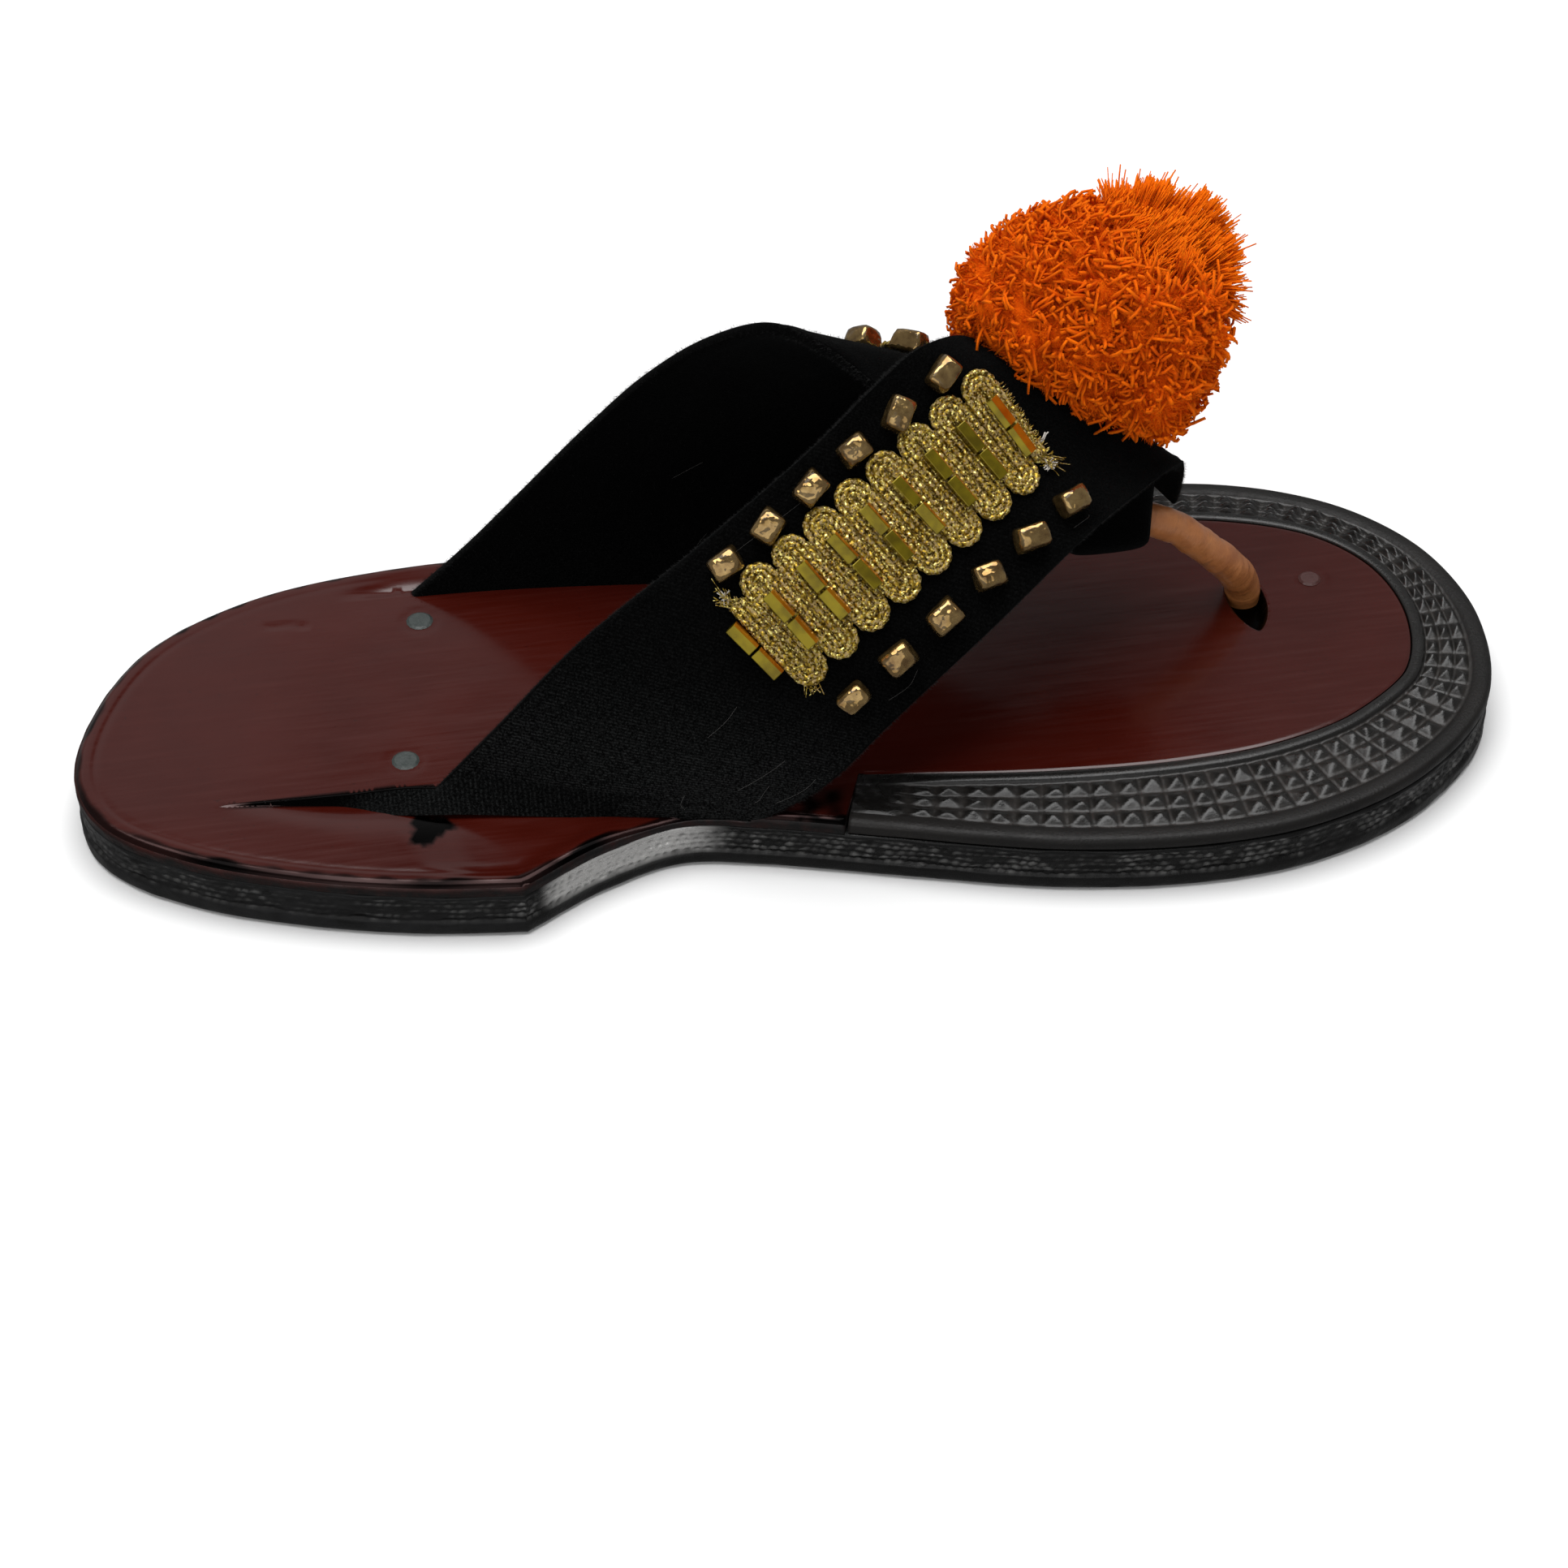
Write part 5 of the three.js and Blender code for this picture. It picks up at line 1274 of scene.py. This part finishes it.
# Gold braid, a serpentine of three cords round each bugle row
CORD_STEPS, CORD_SIDES, CORD_RADIUS, CORD_TWIST, CORD_RIPPLE = 1250, 7, 0.68, 1.7, 1.5
# Each cord's place beside the strip's middle, and its height
CORDS = ((-1.16, 0.92), (0.04, 1.0), (1.14, 0.9))
NET_STEPS, NET_ACROSS, NET_LIFT, NET_HALF, NET_BULGE = 130, 22, 0.55, 8.6, 2.2
BRAID_TOP = BRAID_LOBES * BRAID_PITCH
# Loose ends: mm up the leg, mm across, how many, and the way they point
GOLD_ENDS = [(-2.4, -9.8, 30, (-0.3, -0.9)), (-1.2, 11.2, 22, (-0.5, 0.9)),
             (BRAID_TOP - 1.6, 9.6, 34, (0.6, 0.8))]
GOLD_FRINGE = 80
COTTON_ENDS = [(BRAID_TOP - 1.4, 11.0, 26), (BRAID_TOP + 0.2, 6.5, 9), (-2.6, -11.4, 10)]


def braid_path(offset):
    """Flat path of one cord beside the strip's middle: (mm up the leg from the braid's start, mm across)."""
    quarter = BRAID_PITCH / 4
    reach = BRAID_HALF - quarter - 0.5
    run = np.linspace(1, -1, 30, endpoint=False)
    half_turn = np.linspace(0, math.pi, 18)
    inside, outside = quarter - offset, quarter + offset
    # The first pass lies below the lowest lobe and turns into it at the front
    line = [(-outside, reach * w) for w in np.linspace(-1, 1, 30, endpoint=False)]
    line += [(-outside * math.cos(a), reach + outside * math.sin(a))
             for a in np.linspace(0, math.pi, 18, endpoint=False)]
    for lobe in range(BRAID_LOBES):
        middle = (lobe + 0.5) * BRAID_PITCH
        # Up one side of the bugle row, round its rear end, and down the other side
        line += [(middle - quarter + offset, reach * w) for w in run]
        line += [(middle - inside * math.cos(a), -reach - inside * math.sin(a)) for a in half_turn]
        line += [(middle + quarter - offset, -reach * w) for w in run[1:]]
        if lobe < BRAID_LOBES - 1:
            line += [(middle + 2 * quarter - outside * math.cos(a), reach + outside * math.sin(a))
                     for a in half_turn]
    return np.array(line)


def over_leg(name, along, across, height):
    """Points over a leg, measured from the start and the middle of its ornament."""
    s, v, _ = LEGS[name].place(ORNAMENT_START[name] + along, ORNAMENT_MIDDLE + across)
    return LEGS[name].lifted(s, v, height)


def braid_cords(name):
    paths, run = [], []
    for offset, height in CORDS:
        flat, at = even(braid_path(offset), CORD_STEPS)
        ripple = 0.1 * np.sin(at * 2 * math.pi / CORD_RIPPLE + offset * 3)
        paths.append(over_leg(name, flat[:, 0], flat[:, 1], height + ripple))
        run.append(at)
    run = np.array(run)
    twist = np.cos(2 * turns(CORD_SIDES) - run[:, :, None] * 2 * math.pi / CORD_TWIST)
    points, faces = tubes(paths, CORD_RADIUS * (1 + 0.16 * twist), CORD_SIDES)
    turn = np.tile(np.arange(CORD_SIDES) / CORD_SIDES * 3.2, run.size)
    cord = np.stack([np.repeat(run.ravel(), CORD_SIDES), turn, np.zeros(len(points))], axis=1)
    piece(f"braid_cords_{name}", points, faces, GOLD, "braid", [f"braid_{name}"], data={"cord": cord})


def braid_net(name):
    """Backing net under the cords."""
    d, w = np.linspace(0.4 - BRAID_LEAD, BRAID_TOP - 0.4, NET_STEPS), np.linspace(-1, 1, NET_ACROSS)
    d, w = (g.ravel() for g in np.meshgrid(d, w, indexing="ij"))
    phase = d / BRAID_PITCH * math.pi
    bulge = np.abs(np.sin(np.where(w < 0, phase, phase + math.pi / 2)))
    net = over_leg(name, d, w * (NET_HALF + NET_BULGE * bulge), NET_LIFT)
    cord = np.column_stack([d, w * 9, np.zeros(len(d))])
    piece(f"braid_net_{name}", net, grid_quads(NET_STEPS, NET_ACROSS), GOLD, "braid", data={"cord": cord})


def braid_fray(name):
    """Loose ends where the braid is cut, at its lower and upper ends."""
    r = np.random.default_rng(101 if name == "outer" else 103)
    t = np.linspace(0, 1, 6)

    def laid(hairs):
        """Paths over the strap from (along, across, height) of each hair."""
        return over_leg(name, *(np.ravel(h) for h in zip(*hairs))).reshape(-1, len(t), 3)

    gold = []
    for d0, a0, many, way in GOLD_ENDS:
        for _ in range(many):
            d, a = d0 + r.normal(0, 0.7), a0 + r.normal(0, 1.0)
            go = (np.array(way) + r.normal(0, 0.5, 2)) * r.uniform(0.8, 2.6)
            gold.append((d + go[0] * t, a + go[1] * t, 0.5 + r.uniform(0.2, 1.2) * np.sin(2.2 * t)))
    for _ in range(GOLD_FRINGE):
        a = r.uniform(-8, 10) + r.normal(0, 0.3) * t
        d = BRAID_TOP - 0.5 + r.uniform(0.4, 1.3) * t
        gold.append((d, a, 0.9 + r.uniform(0.0, 0.9) * np.sin(2.6 * t)))
    points, faces = tubes(laid(gold), 0.1, 4)
    piece(f"braid_fray_{name}", points, faces, GOLD, "braid", data={"cord": points})
    cotton = []
    for d0, a0, many in COTTON_ENDS:
        for _ in range(many):
            go = r.normal(0, 0.8, 2)
            d, a = d0 + r.normal(0, 0.3) + go[0] * t, a0 + r.normal(0, 0.35) + go[1] * t
            cotton.append((d, a, 0.5 + r.uniform(0.2, 1.0) * t))
    piece(f"braid_thread_{name}", *tubes(laid(cotton), 0.14, 4), COTTON, "braid")


def build_braid():
    for name in LEGS:
        braid_cords(name)
        braid_net(name)
        braid_fray(name)


# Beads
NUGGET_TAPER, NUGGET_ROUND, NUGGET_LIFT, HIDDEN_ROW_INSET = 0.84, 0.85, 0.2, 4.6
BUGLE_ROUND, BUGLE_SEWN_LIFT, NAIL_ROUND = 0.14, 0.1, 0.3


def nugget_solid(r):
    """An uneven cube with rounded edges, and half its height."""
    size = np.array(NUGGET) / 2 * r.uniform(0.94, 1.06, 3)
    solid = bmesh.new()
    bmesh.ops.create_cube(solid, size=2.0)
    for corner in solid.verts:
        taper = NUGGET_TAPER if corner.co.z > 0 else 1.0
        moved = np.array(corner.co) * size * (1 + r.uniform(-0.14, 0.1, 3)) * (taper, taper, 1)
        corner.co = moved.tolist()
    bmesh.ops.triangulate(solid, faces=solid.faces)
    bmesh.ops.bevel(solid, geom=list(solid.edges), offset=NUGGET_ROUND, segments=2, affect="EDGES",
                    profile=0.55, clamp_overlap=True)
    return *solid_arrays(solid), size[2]


def build_nuggets():
    for name, leg in LEGS.items():
        r = np.random.default_rng(111 if name == "outer" else 113)
        meshes, nodes = [], []
        for edge, across, first, pitch in NUGGET_LINES:
            inset = HIDDEN_ROW_INSET if (name, edge) == ("inner", "rear") else 0
            for n in range(NUGGETS_IN_LINE):
                up = ORNAMENT_START[name] + first + n * pitch
                base, x, y, normal = leg.seat(up, across + inset, NUGGET_LIFT)
                twist = r.normal(0, 0.25)
                x, y = x * math.cos(twist) + y * math.sin(twist), y * math.cos(twist) - x * math.sin(twist)
                local, faces, half = nugget_solid(r)
                a, b, c = local[:, :1], local[:, 1:2], local[:, 2:] + half
                meshes.append((base + a * x + b * y + c * normal, faces))
                nodes.append(f"nugget_{name}_{edge}_{n + 1}")
        piece(f"nuggets_{name}", *joined(meshes), NUGGET_COAT, "nugget", nodes)


def bugle_solid(section, middle):
    """A tube of glass with the given section, lying along y about its middle."""
    solid = bmesh.new()
    rings = [[solid.verts.new((a, middle + w * BUGLE_LENGTH / 2, c)) for a, c in section] for w in (-1, 1)]
    count = len(section)
    for k in range(count):
        after = (k + 1) % count
        solid.faces.new((rings[0][k], rings[0][after], rings[1][after], rings[1][k]))
    solid.faces.new(rings[0][::-1])
    solid.faces.new(rings[1])
    bmesh.ops.recalc_face_normals(solid, faces=solid.faces)
    bmesh.ops.bevel(solid, geom=list(solid.edges), offset=BUGLE_ROUND, segments=2, affect="EDGES",
                    profile=0.6)
    return solid_arrays(solid)


def build_bugles():
    """Square glass tubes, two end to end in each row, each with a flat that slopes to the side up the leg."""
    half = BUGLE_SIDE / 2
    for name, leg in LEGS.items():
        r = np.random.default_rng(121 if name == "outer" else 123)
        up_leg = leg.place(ORNAMENT_START[name] + BRAID_TOP / 2, ORNAMENT_MIDDLE)[2][0]
        glass = bugle_glass(f"olive_glass_{name}", up_leg.tolist())
        meshes, nodes = [], []
        for row in range(BUGLE_ROWS):
            on_braid, top_row = row > 0, row == BUGLE_ROWS - 1
            flat_low, flat_in, lean = (0.9, 0.0, 0.5) if top_row else (1.7, 0.85, 0.05)
            section = [(-half, 0), (half, 0), (half, flat_low), (flat_in, BUGLE_SIDE), (-half, BUGLE_SIDE)]
            up = ORNAMENT_START[name] + (BUGLE_FIRST + row * BUGLE_PITCH - (0 if on_braid else BUGLE_BELOW))
            lift = BUGLE_LIFT if on_braid else BUGLE_SEWN_LIFT
            base, x, y, normal = leg.seat(up, ORNAMENT_MIDDLE, lift)
            for sign in (-1, 1):
                tilt = lean + r.normal(0, 0.07)
                yaw = r.normal(0, 0.03)
                local, faces = bugle_solid(section, sign * (BUGLE_LENGTH + BUGLE_GAP) / 2)
                a, b, c = local[:, 0], local[:, 1], local[:, 2] - half
                a, c = a * math.cos(tilt) - c * math.sin(tilt), c * math.cos(tilt) + a * math.sin(tilt)
                a, b = a + b * yaw, b - a * yaw
                meshes.append((base + a[:, None] * x + b[:, None] * y + (c + half)[:, None] * normal, faces))
            nodes.append(f"bugle_pair_{name}_{row + 1}")
        piece(f"bugles_{name}", *joined(meshes), glass, "bugle", nodes, soft=False)


def dress_nails():
    """Materials and softened edges for the nails, which stay as they are in the CAD model."""
    for name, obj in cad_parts.items():
        if not name.startswith("nail"):
            continue
        obj.data.materials.clear()
        obj.data.materials.append(PAINTED if name == "nail_toe" else IRON)
        soften = obj.modifiers.new("soft_edges", "BEVEL")
        soften.width = NAIL_ROUND * MM
        soften.segments = 3
        soften.limit_method = "ANGLE"
        soften.angle_limit = 0.5


build_outsole()
build_border()
build_insole()
build_strap()
build_tongue()
build_pile()
build_lint()
build_post()
build_loop()
build_pompom()
build_braid()
build_bugles()
build_nuggets()
dress_nails()


# Floor, light and camera, in metres
FLOOR_HALF, FLOOR_Z = 6, -0.0002
CARD_LEFT, CARD_RIGHT, CARD_Y, CARD_LOW, CARD_HIGH = -0.09, 0.54, 1.3, 1.13, 1.9
WORLD_STRENGTH = 0.26
# Name, place, point aimed at, size, and power in watts
LIGHTS = [("overhead", (-0.05, 0.15, 1.5), (0, 0, 0), (1.6, 1.2), 28),
          ("back_sheen", (-0.25, 1.25, 0.84), (-0.05, 0, 0.02), (1.1, 0.5), 0.4),
          ("front_fill", (-0.5, -1.3, 0.75), (0, 0, 0.03), (1.7, 1.2), 6)]


def sheet(name, corners, material):
    """A flat piece of the studio."""
    mesh = bpy.data.meshes.new(name)
    mesh.from_pydata(corners, [], [(0, 1, 2, 3)])
    mesh.materials.append(material)
    obj = bpy.data.objects.new(name, mesh)
    bpy.context.scene.collection.objects.link(obj)
    return obj


def floor():
    look = Look("pale_floor", Roughness=0.7, Specular_IOR_Level=0.1)
    tone = look.noise(look.node("TexCoord").outputs["Object"], 3.0, 2, 0.5)
    look.feed("Base Color", look.mix(tone, (0.9, 0.9, 0.9), (0.92, 0.92, 0.92)))
    half = FLOOR_HALF
    corners = [(-half, -half, 0), (half, -half, 0), (half, half, 0), (-half, half, 0)]
    made = sheet("floor", corners, look.material)
    made.location.z = FLOOR_Z
    made.visible_glossy = False


def card():
    """Black card behind the sandal, out of the picture, that keeps the lacquer dark where it is mirrored."""
    look = Look("black_card", Base_Color=(0.01, 0.01, 0.01, 1), Roughness=0.9, Specular_IOR_Level=0.0)
    sheet("black_card", [(CARD_LEFT, CARD_Y, CARD_LOW), (CARD_RIGHT, CARD_Y, CARD_LOW),
                         (CARD_RIGHT, CARD_Y, CARD_HIGH), (CARD_LEFT, CARD_Y, CARD_HIGH)], look.material)


def area(name, place, aim, size, power):
    data = bpy.data.lights.new(name, "AREA")
    data.shape = "RECTANGLE"
    data.size, data.size_y = size
    data.energy = power
    obj = bpy.data.objects.new(name, data)
    obj.location = place
    obj.rotation_euler = (Vector(aim) - Vector(place)).to_track_quat("-Z", "Y").to_euler()
    bpy.context.scene.collection.objects.link(obj)


floor()
card()
for light in LIGHTS:
    area(*light)
world = bpy.data.worlds.new("studio")
world.use_nodes = True
world.node_tree.nodes["Background"].inputs["Color"].default_value = (1, 1, 1, 1)
world.node_tree.nodes["Background"].inputs["Strength"].default_value = WORLD_STRENGTH
scene = bpy.context.scene
scene.world = world
scene.view_settings.view_transform = "Standard"
scene.view_settings.look = "None"

camera_data = bpy.data.cameras.new("photo_camera")
camera_data.sensor_fit = "HORIZONTAL"
camera_data.sensor_width = PHOTO_SENSOR
camera_data.lens = PHOTO_LENS
camera = bpy.data.objects.new("photo_camera", camera_data)
turn = Matrix((PHOTO_RIGHT, PHOTO_UP, PHOTO_BACK)).transposed()
camera.matrix_world = Matrix.Translation(PHOTO_PLACE) @ turn.to_4x4()
scene.collection.objects.link(camera)
scene.camera = camera
